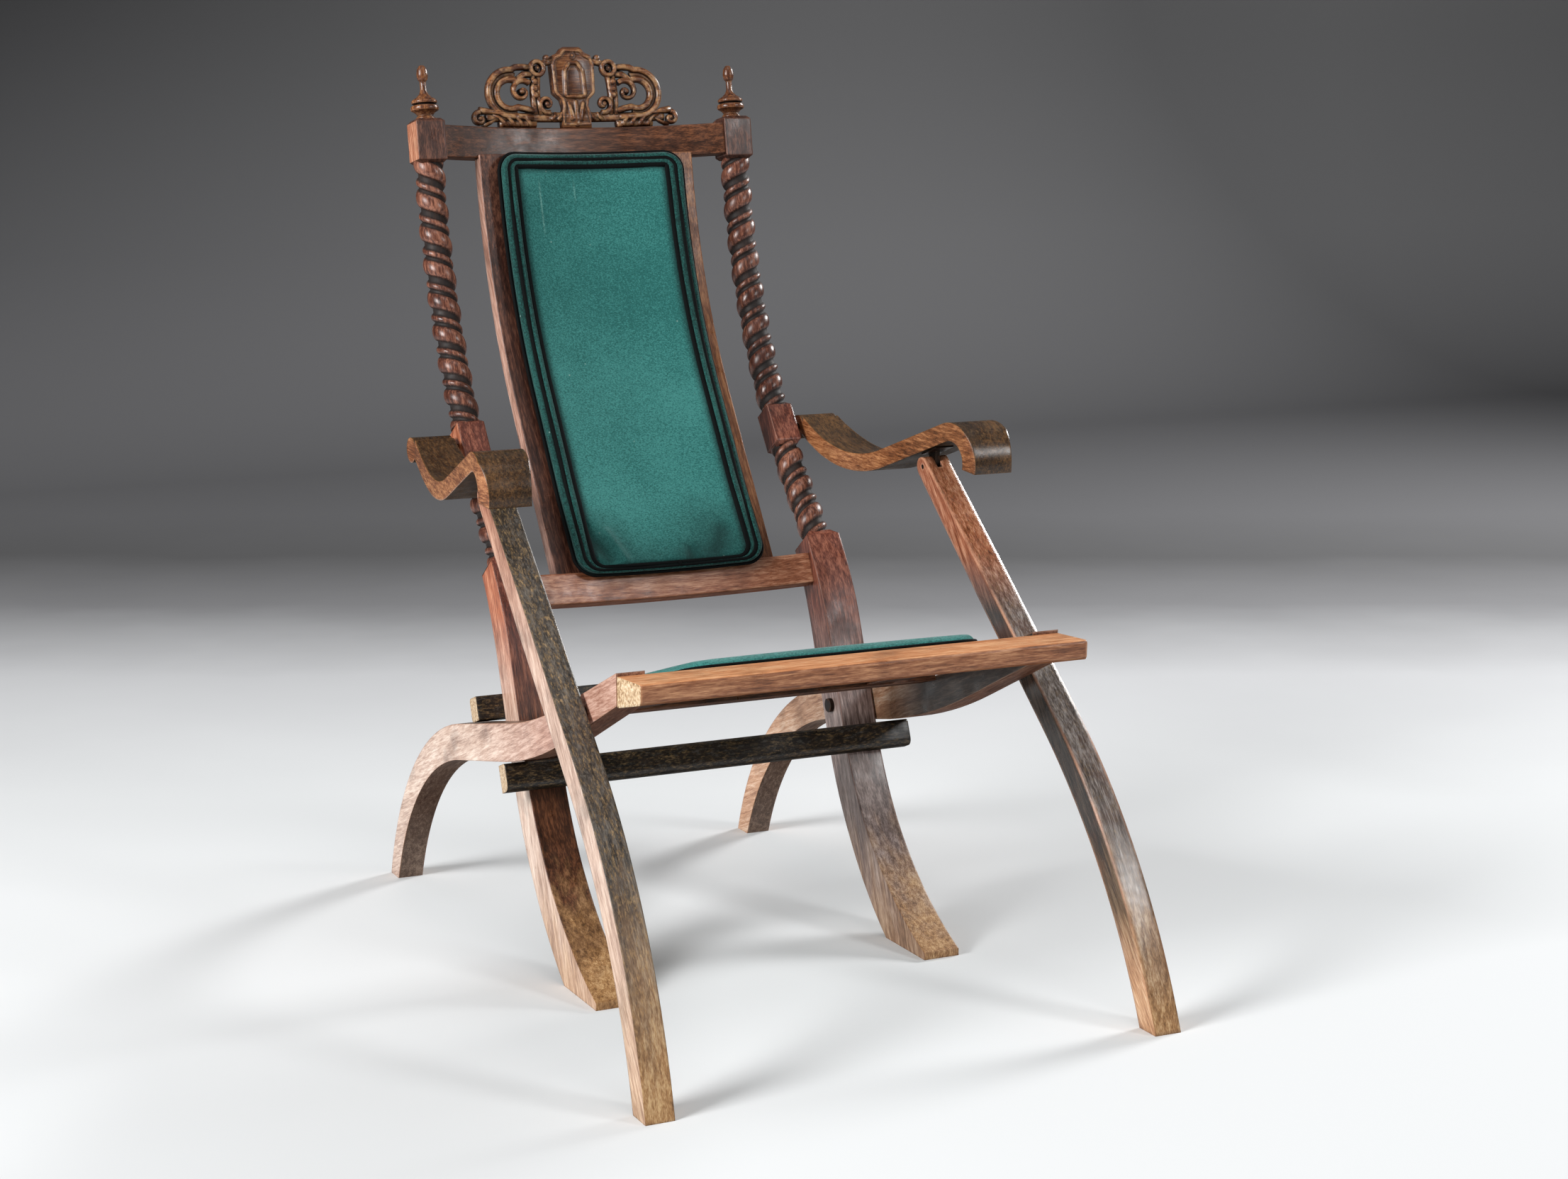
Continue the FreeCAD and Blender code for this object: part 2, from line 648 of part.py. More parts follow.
leg_cutters = fuse("leg_cutters", [floor, slot, hinge_hole, bolt_hole])
pair("front_leg", cut("front_leg", leg_whole, leg_cutters))

# Arms: a scrolled board in side view, tapered in plan, on a round rear end.
arm_half = size("arm_thickness") / 2
arm_side = padded("arm_side", timber_outline(ARM, 0, ARM.length - 6, [(0, arm_half)]), "YZ_Plane", "120")
arm_side.Placement.Base = V(238, 0, 0)
arm_end = cylinder_x("arm_end", "sizes.arm_end_radius", 238, 358, ARM_PIVOT)
plan_corners = [(246, 345, 0), (300, 345, 0), (299, 300, 20), (347, -70, 14), (340, -100, 12),
                (292, -100, 12), (285, -70, 12), (249, 250, 60)]
arm_plan = padded("arm_plan", rounded(plan_corners), "XY_Plane", "200")
arm_plan.Placement.Base = V(0, 0, 500)
arm_blank = doc.addObject("Part::Common", "arm_blank")
arm_blank.Base = fuse("arm_profile", [arm_side, arm_end])
arm_blank.Tool = arm_plan
blind_arm = 300 - size("blind_cover")
arm_bore = cylinder_x("arm_bore", "sizes.arm_pin_radius + sizes.running_gap", 230, blind_arm + 0.4, ARM_PIVOT)
arm = cut("arm", arm_blank, arm_bore)
pair("arm", arm)

# Hinge lugs let the legs turn under the arms; each is a plate with a tongue for the slot in the leg.
tongue_reach = 24
tongue = padded("tongue", rounded([(HINGE_PIVOT[0] - 9, HINGE_PIVOT[1] - 9, 8.9),
                                   (HINGE_PIVOT[0] + 9, HINGE_PIVOT[1] - 9, 8.9),
                                   (HINGE_PIVOT[0] + 9, HINGE_PIVOT[1] + tongue_reach, 0),
                                   (HINGE_PIVOT[0] - 9, HINGE_PIVOT[1] + tongue_reach, 0)]), "YZ_Plane",
                "sizes.tongue_width")
tongue.Placement.Base = V(head_x - size("tongue_width") / 2, 0, 0)
plate = doc.addObject("Part::Box", "hinge_plate")
plate.Length, plate.Width, plate.Height = 26, 38, 6
arm_slope = 90 - math.degrees(ARM.at(150)[2])
plate_turn = FreeCAD.Rotation(V(1, 0, 0), arm_slope)
plate_low = ARM.beside(ARM.reaching(0, HINGE_PIVOT[0] - 4), arm_half + 2)
plate_start = V(head_x - 13, plate_low.x, plate_low.y) + plate_turn.multVec(V(0, -19, 0))
plate.Placement = FreeCAD.Placement(plate_start, plate_turn)
lug_bore = cylinder_x("lug_bore", "sizes.hinge_pin_radius + sizes.running_gap", 260, 330, HINGE_PIVOT)
lug_cutters = fuse("lug_cutters", [arm, lug_bore])
pair("arm_hinge", cut("arm_hinge", fuse("hinge_whole", [tongue, plate]), lug_cutters))


# Pivot hardware.

def headed_pin(name, radius, x0, x1, pivot, heads):
    """A pin along X with round heads, each (radius, x0, x1)."""
    parts = [cylinder_x(name + "_shank", radius, x0, x1, pivot)]
    for index, (head_radius, h0, h1) in enumerate(heads):
        parts.append(cylinder_x("%s_head_%d" % (name, index), head_radius, h0, h1, pivot))
    return fuse(name, parts)


pair("seat_pivot", headed_pin("seat_pivot", "sizes.seat_bolt_radius", 189, blind_rail, SEAT_PIVOT,
                              [("1.8 * sizes.seat_bolt_radius", 189, 194)]))
pair("arm_pivot", cylinder_x("arm_pivot", "sizes.arm_pin_radius", 213, blind_arm, ARM_PIVOT))
pin_half = 16.4
pair("hinge_pin", cylinder_x("hinge_pin", "sizes.hinge_pin_radius", head_x - pin_half, head_x + pin_half,
                             HINGE_PIVOT))
pair("leg_bolt", cylinder_x("leg_bolt", "sizes.leg_bolt_radius", 283.2, blind_leg, LEG_PIVOT))
washer = cylinder_x("rail_washer", "2 * sizes.leg_bolt_radius", rail_outer, rail_outer + 2.5, LEG_PIVOT)
pair("rail_washer", washer)

doc.recompute()
faults = [o.Name for o in doc.Objects if "Invalid" in o.State or "Error" in o.State]
for piece in nodes:
    if piece.Shape.isNull() or not piece.Shape.isValid() or len(piece.Shape.Solids) != 1:
        faults.append("%s: %d solids" % (piece.Label, len(piece.Shape.Solids)))
if faults:
    raise SystemExit("not built: " + ", ".join(faults))
os.makedirs("parts", exist_ok=True)
for piece in nodes:
    piece.Shape.exportStep("parts/%s.step" % piece.Label)
print(len(nodes), "pieces written")
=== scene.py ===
from math import cos, exp, hypot, pi, radians, sin, sqrt, tan

import bmesh
import bpy
import numpy as np
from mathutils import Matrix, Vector
from mathutils.bvhtree import BVHTree


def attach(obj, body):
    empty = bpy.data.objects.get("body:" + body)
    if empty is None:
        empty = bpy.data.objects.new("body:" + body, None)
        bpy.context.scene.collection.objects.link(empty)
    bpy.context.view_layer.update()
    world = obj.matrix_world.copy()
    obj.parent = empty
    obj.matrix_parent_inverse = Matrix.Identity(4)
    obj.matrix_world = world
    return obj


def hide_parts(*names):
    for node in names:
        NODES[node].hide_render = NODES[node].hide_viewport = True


# Looks of the folding campaign chair: carved mahogany, teal wool panels with black piping, studio floor
# and light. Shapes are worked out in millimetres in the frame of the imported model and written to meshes
# in metres. Materials and the studio are in metres.

MM = 0.001
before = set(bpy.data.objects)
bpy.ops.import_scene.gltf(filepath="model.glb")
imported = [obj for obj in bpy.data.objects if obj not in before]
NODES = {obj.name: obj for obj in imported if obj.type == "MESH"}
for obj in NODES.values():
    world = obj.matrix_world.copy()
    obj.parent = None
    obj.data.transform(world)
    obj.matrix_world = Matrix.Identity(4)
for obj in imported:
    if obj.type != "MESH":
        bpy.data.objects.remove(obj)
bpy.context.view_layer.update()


class Line:
    """A timber's line seen from the side: a start, a heading in degrees from upright towards the back,
    and runs of (length, turn in degrees)."""

    HALVINGS = 50

    def __init__(self, y, z, heading, runs):
        self.stations = [(0.0, y, z, radians(heading))]
        self.bends = []
        for length, turn in runs:
            s, y, z, h = self.stations[-1]
            bend = radians(turn) / length
            self.bends.append(bend)
            self.stations.append((s + length,) + self.advance(y, z, h, bend, length))
        self.length = self.stations[-1][0]

    @staticmethod
    def advance(y, z, h, bend, run):
        if bend == 0:
            return (y + run * sin(h), z + run * cos(h), h)
        g = h + bend * run
        return (y + (cos(h) - cos(g)) / bend, z + (sin(g) - sin(h)) / bend, g)

    def at(self, s):
        """The (y, z, heading in radians) at a length along the line, which runs on past both ends."""
        index = max(k for k in range(len(self.bends)) if k == 0 or self.stations[k][0] <= s)
        start, y, z, h = self.stations[index]
        return self.advance(y, z, h, self.bends[index], s - start)

    def at_height(self, height):
        """The length along a rising line at which it reaches a height."""
        low, high = 0.0, self.length
        for _ in range(self.HALVINGS):
            mid = (low + high) / 2
            low, high = (mid, high) if self.at(mid)[1] < height else (low, mid)
        return low


# POST and BACK are the lines of the posts and the back stiles; SEAT lies on top of the seat's bearers.
POST = Line(-99.4, 0, 59.6, [(310.8, -39.6), (137.7, 0), (174.2, 24.3), (490, -34.5), (90, 0)])
BACK = Line(200, 463, 33.4, [(240, 0), (335, -25)])
SEAT = Line(-331.06, 437.14, 106.6, [(390, 0)])


# Helpers for meshes and objects.

def smooth(mesh):
    for polygon in mesh.polygons:
        polygon.use_smooth = True


def keep_painted_shade(mesh, shade_values):
    """Keeps painted shade with a mesh's points, for its material to read."""
    mesh.attributes.new("painted_shade", "FLOAT", "POINT").data.foreach_set("value", shade_values)


def linked(name, data):
    """A new object in the scene."""
    made = bpy.data.objects.new(name, data)
    bpy.context.scene.collection.objects.link(made)
    return made


def evaluated(piece):
    return piece.evaluated_get(bpy.context.evaluated_depsgraph_get())


# Materials.

def srgb(red, green, blue):
    """Linear colour from display values of 0 to 255."""
    def channel(v):
        v /= 255.0
        return v / 12.92 if v <= 0.04045 else ((v + 0.055) / 1.055) ** 2.4
    return (channel(red), channel(green), channel(blue), 1.0)


def shades(*colours):
    return tuple(srgb(*colour) for colour in colours)


class Graph:
    """A material's node tree, built with short calls."""

    SAMPLES = 6
    ARRIS_DOT = (0.98, 0.80)
    HOLLOW_SHADE = (0.90, 0.50)
    TILT = (0.31, 0.22, 0.93)

    def __init__(self, name):
        self.material = bpy.data.materials.new(name)
        self.material.use_nodes = True
        self.tree = self.material.node_tree
        self.shader = self.tree.nodes["Principled BSDF"]

    def put(self, socket, value):
        if isinstance(value, bpy.types.NodeSocket):
            self.tree.links.new(value, socket)
        else:
            socket.default_value = value

    def set(self, **values):
        """Sets the shader's inputs, whose names are given with underscores for blanks."""
        for key, value in values.items():
            self.put(self.shader.inputs[key.replace("_", " ")], value)

    def node(self, kind, sockets=None, **settings):
        made = self.tree.nodes.new("ShaderNode" + kind)
        for key, value in settings.items():
            setattr(made, key, value)
        for key, value in (sockets or {}).items():
            self.put(made.inputs[key], value)
        return made

    def math(self, operation, a, b=0.0):
        return self.node("Math", {0: a, 1: b}, operation=operation).outputs[0]

    def times(self, a, b):
        return self.math("MULTIPLY", a, b)

    def weighed(self, *shares):
        """The sum of (value, share) pairs."""
        (value, share), *rest = shares
        part = self.times(value, share)
        return self.math("ADD", part, self.weighed(*rest)) if rest else part

    def span(self, value, low, high, to_low=0.0, to_high=1.0):
        """A value between low and high mapped to a new range and held there."""
        made = self.node("MapRange", {"Value": value, "From Min": low, "From Max": high,
                                      "To Min": to_low, "To Max": to_high})
        return made.outputs["Result"]

    def mix(self, factor, a, b):
        made = self.node("Mix", {0: factor, 6: a, 7: b}, data_type="RGBA")
        return made.outputs[2]

    def ramp(self, factor, stops, colours):
        made = self.node("ValToRGB", {"Fac": factor})
        for _ in stops[2:]:
            made.color_ramp.elements.new(0.5)
        for element, stop, colour in zip(made.color_ramp.elements, stops, colours):
            element.position = stop
            element.color = colour
        return made.outputs["Color"]

    def place(self):
        return self.node("TexCoord").outputs["Object"]

    def parts(self, vector):
        return self.node("SeparateXYZ", {"Vector": vector}).outputs

    def along(self, direction, stretch):
        """Object coordinates turned so that x runs along a direction, then stretched."""
        first = Vector(direction).normalized()
        second = first.cross(Vector(self.TILT))
        second.normalize()
        third = first.cross(second)
        here = self.place()
        parts = []
        for axis, scale in zip((first, second, third), stretch):
            dot = self.node("VectorMath", {0: here, 1: tuple(axis * scale)}, operation="DOT_PRODUCT")
            parts.append(dot.outputs["Value"])
        joined = self.node("CombineXYZ", {"X": parts[0], "Y": parts[1], "Z": parts[2]})
        return joined.outputs["Vector"]

    def noise(self, vector, scale=1.0, detail=4.0, rough=0.55):
        made = self.node("TexNoise", {"Vector": vector, "Scale": scale, "Detail": detail, "Roughness": rough})
        return made.outputs["Fac"]

    def bump(self, height, strength, distance, normal=None):
        sockets = {"Height": height, "Strength": strength, "Distance": distance}
        if normal is not None:
            sockets["Normal"] = normal
        self.put(self.shader.inputs["Normal"], self.node("Bump", sockets).outputs["Normal"])

    def softened(self, radius):
        """The normal, eased over arrises."""
        return self.node("Bevel", {"Radius": radius}, samples=self.SAMPLES).outputs["Normal"]

    def edges(self, soft):
        """Near 1 on arrises and 0 on flat faces, from an eased normal."""
        true = self.node("NewGeometry").outputs["Normal"]
        dot = self.node("VectorMath", {0: soft, 1: true}, operation="DOT_PRODUCT").outputs["Value"]
        return self.span(dot, *self.ARRIS_DOT)

    def hollows(self, distance):
        """Near 1 in grooves and corners and 0 on open faces, from ambient occlusion, for painted shade."""
        shade = self.node("AmbientOcclusion", {"Distance": distance}, samples=self.SAMPLES, only_local=True)
        return self.span(shade.outputs["AO"], *self.HOLLOW_SHADE)

    def shade_values(self):
        """The painted shade kept with a mesh's points, 0 where it has none."""
        return self.node("Attribute", attribute_name="painted_shade").outputs["Fac"]


CHIPPED = shades((120, 114, 106), (132, 104, 66), (180, 148, 104))
OCHRE = shades((100, 66, 37), (172, 126, 78), (216, 178, 128))
END_GRAIN = shades((122, 84, 52), (204, 172, 132), (232, 212, 182))
# Paler wood for the tops of carving: wear and a painted highlight.
RUBBED_AND_HIGHLIT = srgb(196, 152, 106)
# Near black, for painted shade.
SHADE_COLOUR = srgb(13, 8, 6)


class Timber(Graph):
    """Node tree of mahogany with its grain along a direction. A stretch is the repeats in a metre, first
    along the grain and then across it both ways."""

    TONE_STOPS = (0.38, 0.49, 0.60)
    CHIP_STOPS = (0.40, 0.49, 0.60)
    RAY_STOPS = (0.35, 0.50, 0.65)
    RAGGED = 0.10

    def __init__(self, name, direction):
        super().__init__(name)
        self.direction = direction
        self.grain = self.streaked((22, 240, 240), 6.0, 0.62)
        self.fine = self.streaked((75, 800, 800), 4.0, 0.6)
        figure = self.streaked((4, 22, 22), 4.0)
        self.tone = self.weighed((self.grain, 0.42), (figure, 0.26), (self.fine, 0.32))
        self.patches = self.noise(self.place(), 14.0, 5.0)
        self.axes = self.parts(self.place())
        self.facing = self.parts(self.node("NewGeometry").outputs["Normal"])
        self.sideways = self.math("ABSOLUTE", self.facing["X"])

    def streaked(self, stretch, detail, rough=0.55):
        return self.noise(self.along(self.direction, stretch), 1.0, detail, rough)

    def timber(self, tones):
        return self.ramp(self.tone, self.TONE_STOPS, tones)

    def faded(self, tones, fades):
        """Tones that give way to others; fades are (axis, start, end, tones)."""
        made = self.timber(tones)
        for axis, start, end, later in fades:
            made = self.mix(self.span(self.axes[axis], start, end), made, self.timber(later))
        return made

    def chipped(self, colour, share):
        """Flecks of bare wood where the polish has chipped."""
        chips = self.streaked((150, 420, 420), 6.0, 0.75)
        hues = self.streaked((60, 200, 200), 3.0)
        return self.mix(self.span(chips, 0.48, 0.62, 0.0, share), colour,
                        self.ramp(hues, self.CHIP_STOPS, CHIPPED))

    def bareness(self, full, none):
        """Wear at the foot, 1 at one height and 0 at another, with a ragged edge between."""
        ragged = self.span(self.streaked((14, 70, 70), 6.0), 0.0, 1.0, -self.RAGGED, self.RAGGED)
        return self.span(self.math("ADD", self.axes["Z"], ragged), none, full)

    def end_grain(self, colour, strength):
        """Pale end grain on the faces square to x."""
        rays = self.noise(self.place(), 260.0, 5.0, 0.7)
        return self.mix(self.span(self.sideways, 0.80, 0.97, 0.0, strength), colour,
                        self.ramp(rays, self.RAY_STOPS, END_GRAIN))

    def rubbed_and_highlit(self, colour, point_shade, strength):
        """Paler spots on the tops of carving, where its painted shade is least: wear and a painted highlight.
        """
        spots = self.span(self.noise(self.place(), 90.0, 3.0), 0.46, 0.62)
        return self.mix(self.times(self.span(point_shade, 0.14, 0.0, 0.0, strength), spots), colour, RUBBED_AND_HIGHLIT)


def wood(name, direction, tones, flank=None, flecks=0.0, worn=None, fades=(), ends=0.0, painted_shade=0.010,
         sheen=0.34, ease=0.0032, upper=None, crown=0.0):
    """Polished mahogany, with painted shade in hollows and on undersides, and paler arrises that are worn
    edges with a painted highlight.

    tones are (deep, mid, pale); flank recolours the side faces, mostly as painted light and shade;
    flecks is the share of chipped polish; worn is (height of full wear, height of none); fades are (axis,
    start, end, tones, side tones), several of them painted shade or sheen; ends is the strength of pale end
    grain on faces square to x; the argument after ends is the reach of painted shade in hollows; sheen is
    the polish's roughness; ease is the radius of the worn and highlighted arrises; upper recolours the
    faces that look up as a painted highlight; crown is the strength of paler tops on carving, wear with a
    painted highlight."""
    polish, unpolished, dulled, arris_highlight = 0.42, 0.06, 0.35, 1.6
    g = Timber(name, direction)
    deep, _, pale = tones
    colour = g.faded(tones, [(axis, start, end, front) for axis, start, end, front, _ in fades])
    if flecks:
        colour = g.chipped(colour, flecks)
    # Side faces recoloured: mostly painted light and shade of the sides.
    if flank:
        sides = g.faded(flank, [(axis, start, end, aside) for axis, start, end, _, aside in fades])
        colour = g.mix(g.span(g.sideways, 0.75, 0.95), colour, sides)
    # Faces that look up recoloured paler: a painted highlight.
    if upper:
        colour = g.mix(g.span(g.facing["Z"], 0.70, 0.92), colour, g.timber(upper))
    colour = g.mix(g.span(g.patches, 0.54, 0.70, 0.0, 0.45), colour, deep)
    soft = g.softened(ease)
    # Paler arrises: worn edges with a painted highlight along them.
    arris = g.times(g.edges(soft), g.span(g.patches, 0.35, 0.60, 0.1, 0.8))
    colour = g.mix(arris, colour, tuple(min(1.0, arris_highlight * c) for c in pale[:3]) + (1.0,))
    rough = g.span(g.noise(g.place(), 40.0, 5.0), 0.3, 0.7, sheen - 0.10, sheen + 0.12)
    if worn:
        bare = g.bareness(*worn)
        colour = g.mix(g.times(bare, g.span(g.sideways, 0.6, 0.9, 0.85, 0.45)), colour, g.timber(OCHRE))
        rough = g.math("ADD", rough, g.times(bare, 0.15))
    if ends:
        colour = g.end_grain(colour, ends)
    point_shade = g.shade_values()
    # Paler tops on carving: wear and a painted highlight.
    if crown:
        colour = g.rubbed_and_highlit(colour, point_shade, crown)
    # Faces that look down: painted shade in the colour, and a duller polish.
    below = g.span(g.facing["Z"], -0.30, -0.70)
    colour = g.mix(g.times(below, 0.55), colour, deep)
    # Painted shade: ambient occlusion in hollows and the per-point values, mixed towards near black.
    shaded = g.math("MAXIMUM", g.hollows(painted_shade), point_shade)
    dull = g.math("MAXIMUM", shaded, below)
    g.set(Base_Color=g.mix(g.times(shaded, 0.94), colour, SHADE_COLOUR),
          Roughness=g.math("ADD", rough, g.times(dull, dulled)),
          Specular_IOR_Level=g.span(below, 0.0, 1.0, polish, unpolished))
    g.bump(g.math("ADD", g.grain, g.times(g.fine, 0.7)), 0.30, 0.0004, soft)
    return g.material


LINT = srgb(160, 190, 180)
STREAK = srgb(126, 176, 166)
# Dark teal for stain and painted shade of folds.
STAIN_AND_SHADE = srgb(12, 44, 42)
# Near black teal, for painted shade.
CHANNEL_SHADE = srgb(4, 18, 18)


def wool(name, tones, stains_and_shade=(), streaks=(), shaded_channels=False):
    """Napped wool cloth with a fine weave, faded patches and lint.

    tones are (deep, mid, pale); dark patches of (point, reach, strength) are stain and painted shade of
    folds; streaks are pale scratches of (x, low z, high z); the last switch paints shade into hollows."""
    streak_fade, streak_width, channel_width = 0.02, (0.0018, 0.0005), 0.008
    g = Graph(name)
    here = g.place()
    weave = g.noise(g.along((1, 0, 0), (350, 2200, 2200)), 1.0, 2.0)
    nap = g.noise(here, 420.0, 5.0, 0.7)
    fade = g.noise(here, 6.0, 4.0)
    tone = g.weighed((nap, 0.42), (weave, 0.38), (fade, 0.20))
    colour = g.ramp(tone, (0.45, 0.50, 0.55), tones)
    lint = g.node("TexVoronoi", {"Vector": here, "Scale": 60.0}, feature="F1")
    linty = g.span(g.noise(here, 21.0, 2.0), 0.52, 0.58)
    speck = g.times(g.span(lint.outputs["Distance"], 0.085, 0.03), linty)
    colour = g.mix(g.times(speck, 0.6), colour, LINT)
    axes = g.parts(here)
    for x, low, high in streaks:
        away = g.math("ABSOLUTE", g.math("SUBTRACT", axes["X"], x))
        above = g.span(axes["Z"], low, low + streak_fade)
        under = g.span(axes["Z"], high, high - streak_fade)
        line = g.times(g.span(away, *streak_width), g.times(above, under))
        colour = g.mix(g.times(line, g.span(nap, 0.4, 0.6, 0.1, 0.6)), colour, STREAK)
    # Dark patches: stain and painted shade of folds.
    for point, reach, strength in stains_and_shade:
        away = g.node("VectorMath", {0: here, 1: point}, operation="DISTANCE").outputs["Value"]
        ragged = g.math("ADD", away, g.times(g.noise(here, 24.0, 5.0), reach * 0.5))
        colour = g.mix(g.span(ragged, reach * 1.25, reach * 0.3, 0.0, strength), colour, STAIN_AND_SHADE)
    # Painted shade: the per-point values and, where asked, ambient occlusion in hollows.
    shade = g.shade_values()
    if shaded_channels:
        shade = g.math("MAXIMUM", shade, g.hollows(channel_width))
    g.set(Base_Color=g.mix(g.times(shade, 0.85), colour, CHANNEL_SHADE),
          Roughness=g.span(nap, 0.3, 0.7, 0.82, 0.97),
          Sheen_Weight=0.15, Sheen_Roughness=0.5, Specular_IOR_Level=0.15)
    g.bump(g.math("ADD", weave, g.times(nap, 0.6)), 0.6, 0.0006)
    return g.material


def cord_cloth(name):
    """Black twisted piping cord."""
    g = Graph(name)
    lay = g.noise(g.place(), 700.0, 3.0)
    g.set(Base_Color=g.ramp(lay, (0.35, 0.65), (srgb(3, 4, 5), srgb(13, 16, 16))),
          Roughness=g.span(lay, 0.3, 0.7, 0.75, 0.95), Specular_IOR_Level=0.12)
    g.bump(lay, 0.5, 0.0005)
    return g.material


def iron(name):
    """Blackened iron with worn spots and arrises."""
    g = Graph(name)
    spots = g.noise(g.place(), 120.0, 5.0)
    worn = g.times(g.edges(g.softened(0.0012)), 0.6)
    colour = g.ramp(spots, (0.35, 0.6, 0.75), (srgb(24, 18, 15), srgb(46, 34, 27), srgb(86, 56, 38)))
    g.set(Base_Color=g.mix(worn, colour, srgb(104, 84, 68)),
          Roughness=g.span(spots, 0.3, 0.7, 0.36, 0.6), Metallic=0.85)
    g.bump(spots, 0.25, 0.0004)
    return g.material


# Tones of the wood, each (deep, mid, pale); several of them stand for painted light, sheen and shade.
RED = shades((28, 15, 11), (66, 38, 29), (120, 78, 60))
ROSE = shades((88, 44, 30), (152, 90, 64), (204, 150, 120))
CRIMSON = shades((44, 20, 14), (100, 50, 37), (160, 100, 78))
RUST = shades((96, 46, 28), (166, 92, 60), (212, 150, 116))
BLUSH = shades((112, 74, 60), (168, 124, 106), (212, 174, 156))
PALE = shades((140, 108, 92), (196, 166, 148), (232, 212, 196))
BROWN = shades((28, 15, 9), (70, 40, 25), (122, 76, 50))
# Grey, for the right post's foot: painted sheen and shade.
SHADED_SHEEN = shades((68, 53, 48), (128, 109, 103), (182, 163, 156))
CHESTNUT = shades((82, 43, 27), (149, 90, 62), (200, 147, 116))
SATIN = shades((56, 32, 22), (114, 74, 55), (166, 124, 100))
# Grey, for the right leg's front: painted sheen.
GREY_SHEEN = shades((42, 36, 33), (100, 90, 85), (166, 158, 153))
# Dim grey, for the left leg's front: painted sheen.
DIM_SHEEN = shades((34, 29, 26), (76, 69, 63), (128, 119, 109))
ROPE_RED = shades((36, 17, 12), (86, 48, 36), (156, 104, 82))
# A lit top, for the front rail: painted highlight.
LIT_TOP = shades((146, 84, 46), (206, 136, 88), (236, 184, 138))
OLIVE = shades((24, 15, 8), (58, 38, 21), (104, 72, 41))
AMBER = shades((64, 35, 20), (126, 76, 46), (184, 128, 86))
GOLDEN = shades((36, 18, 10), (92, 52, 31), (158, 106, 66))
DARK = shades((18, 14, 11), (46, 38, 31), (92, 78, 62))
# Near black, for shaded sides: painted shade.
SHADOWED = shades((18, 14, 12), (48, 39, 34), (86, 72, 62))
# Near black, for the stretcher: painted shade.
SHADOWED_BLACK = shades((9, 7, 6), (22, 17, 13), (48, 36, 26))
ORANGE = shades((80, 43, 25), (146, 92, 60), (200, 146, 106))
DRAB = shades((66, 50, 40), (108, 86, 72), (156, 132, 114))
CREAM = shades((140, 92, 62), (198, 150, 116), (232, 202, 176))

# Directions of the grain.
ACROSS = (1, 0, 0)
FORWARD = (0, 1, 0.05)
UPRIGHT = (0, 0.34, 0.94)
RECLINED = (0, 0.5, 0.86)
LEANING = (0, 0.58, 0.81)
BACKWARD = (0, 0.93, -0.36)

# Left and right pieces are lit and shaded copies: paler sides on the left are painted light from the left,
# darker sides and grey fades on the right are painted shade and sheen.
WOODS = {
    # Paler sides and foot: painted light from the left.
    "left_post": wood("mahogany_left_post", UPRIGHT, RED, flank=ROSE, worn=(0.02, 0.13),
                      fades=[("Z", 0.80, 0.62, CRIMSON, RUST), ("Z", 0.42, 0.26, BROWN, PALE)]),
    # Grey foot: painted sheen and shade.
    "right_post": wood("mahogany_right_post", UPRIGHT, RED, flank=RED, worn=(0.02, 0.15),
                       fades=[("Z", 0.80, 0.62, CRIMSON, CRIMSON), ("Z", 0.40, 0.26, SHADED_SHEEN, SHADED_SHEEN)]),
    "twist": wood("mahogany_twist", UPRIGHT, ROPE_RED, sheen=0.30),
    "finial": wood("mahogany_turning", UPRIGHT, GOLDEN, painted_shade=0.006, sheen=0.26),
    "rail": wood("mahogany_rail", ACROSS, BROWN),
    # Paler tones: partly a painted sheen on the rail's front.
    "lower_rail": wood("mahogany_lower_rail", ACROSS, CHESTNUT),
    # Paler sides: painted light from the left.
    "left_stile": wood("mahogany_left_stile", RECLINED, RED, flank=BLUSH),
    # Darker sides: painted shade.
    "right_stile": wood("mahogany_right_stile", RECLINED, AMBER, flank=RED),
    # Paler top: painted highlight; pale ends: end grain.
    "front_rail": wood("mahogany_front_rail", ACROSS, ORANGE, ends=1.0, ease=0.005, upper=LIT_TOP),
    # Near black: painted shade, with flecks of chipped polish.
    "stretcher": wood("mahogany_stretcher", ACROSS, SHADOWED_BLACK, flecks=0.40, ends=0.8),
    # Paler sides towards the back: wear and painted light.
    "left_seat_rail": wood("mahogany_left_seat_rail", BACKWARD, SATIN, flank=BLUSH,
                           fades=[("Y", -0.10, 0.16, DRAB, PALE)]),
    # Dark sides: painted cast shadow.
    "right_seat_rail": wood("mahogany_right_seat_rail", BACKWARD, SATIN, flank=SHADOWED,
                            fades=[("Y", -0.05, 0.14, DRAB, CREAM)]),
    # Pale sides: painted light; grey lower front: painted sheen.
    "left_leg": wood("mahogany_left_leg", LEANING, DARK, flank=ROSE, flecks=0.70,
                     fades=[("Z", 0.62, 0.34, DIM_SHEEN, PALE)], worn=(0.02, 0.24)),
    # Grey front: painted sheen; dark sides under the seat: painted shadow.
    "right_leg": wood("mahogany_right_leg", LEANING, CHESTNUT, flank=ROSE, flecks=0.25,
                      fades=[("Z", 0.50, 0.43, GREY_SHEEN, SHADOWED), ("Z", 0.13, 0.05, GREY_SHEEN, CREAM)],
                      worn=(0.03, 0.21), sheen=0.20, ease=0.0075),
    # Paler sides: partly a painted highlight.
    "arm": wood("mahogany_arm", FORWARD, OLIVE, flank=AMBER, flecks=0.15, sheen=0.26),
    "carving": wood("mahogany_carving", ACROSS, GOLDEN, painted_shade=0.007, sheen=0.20, crown=0.5),
}
IRON = iron("black_iron")
PIPING = cord_cloth("black_piping")

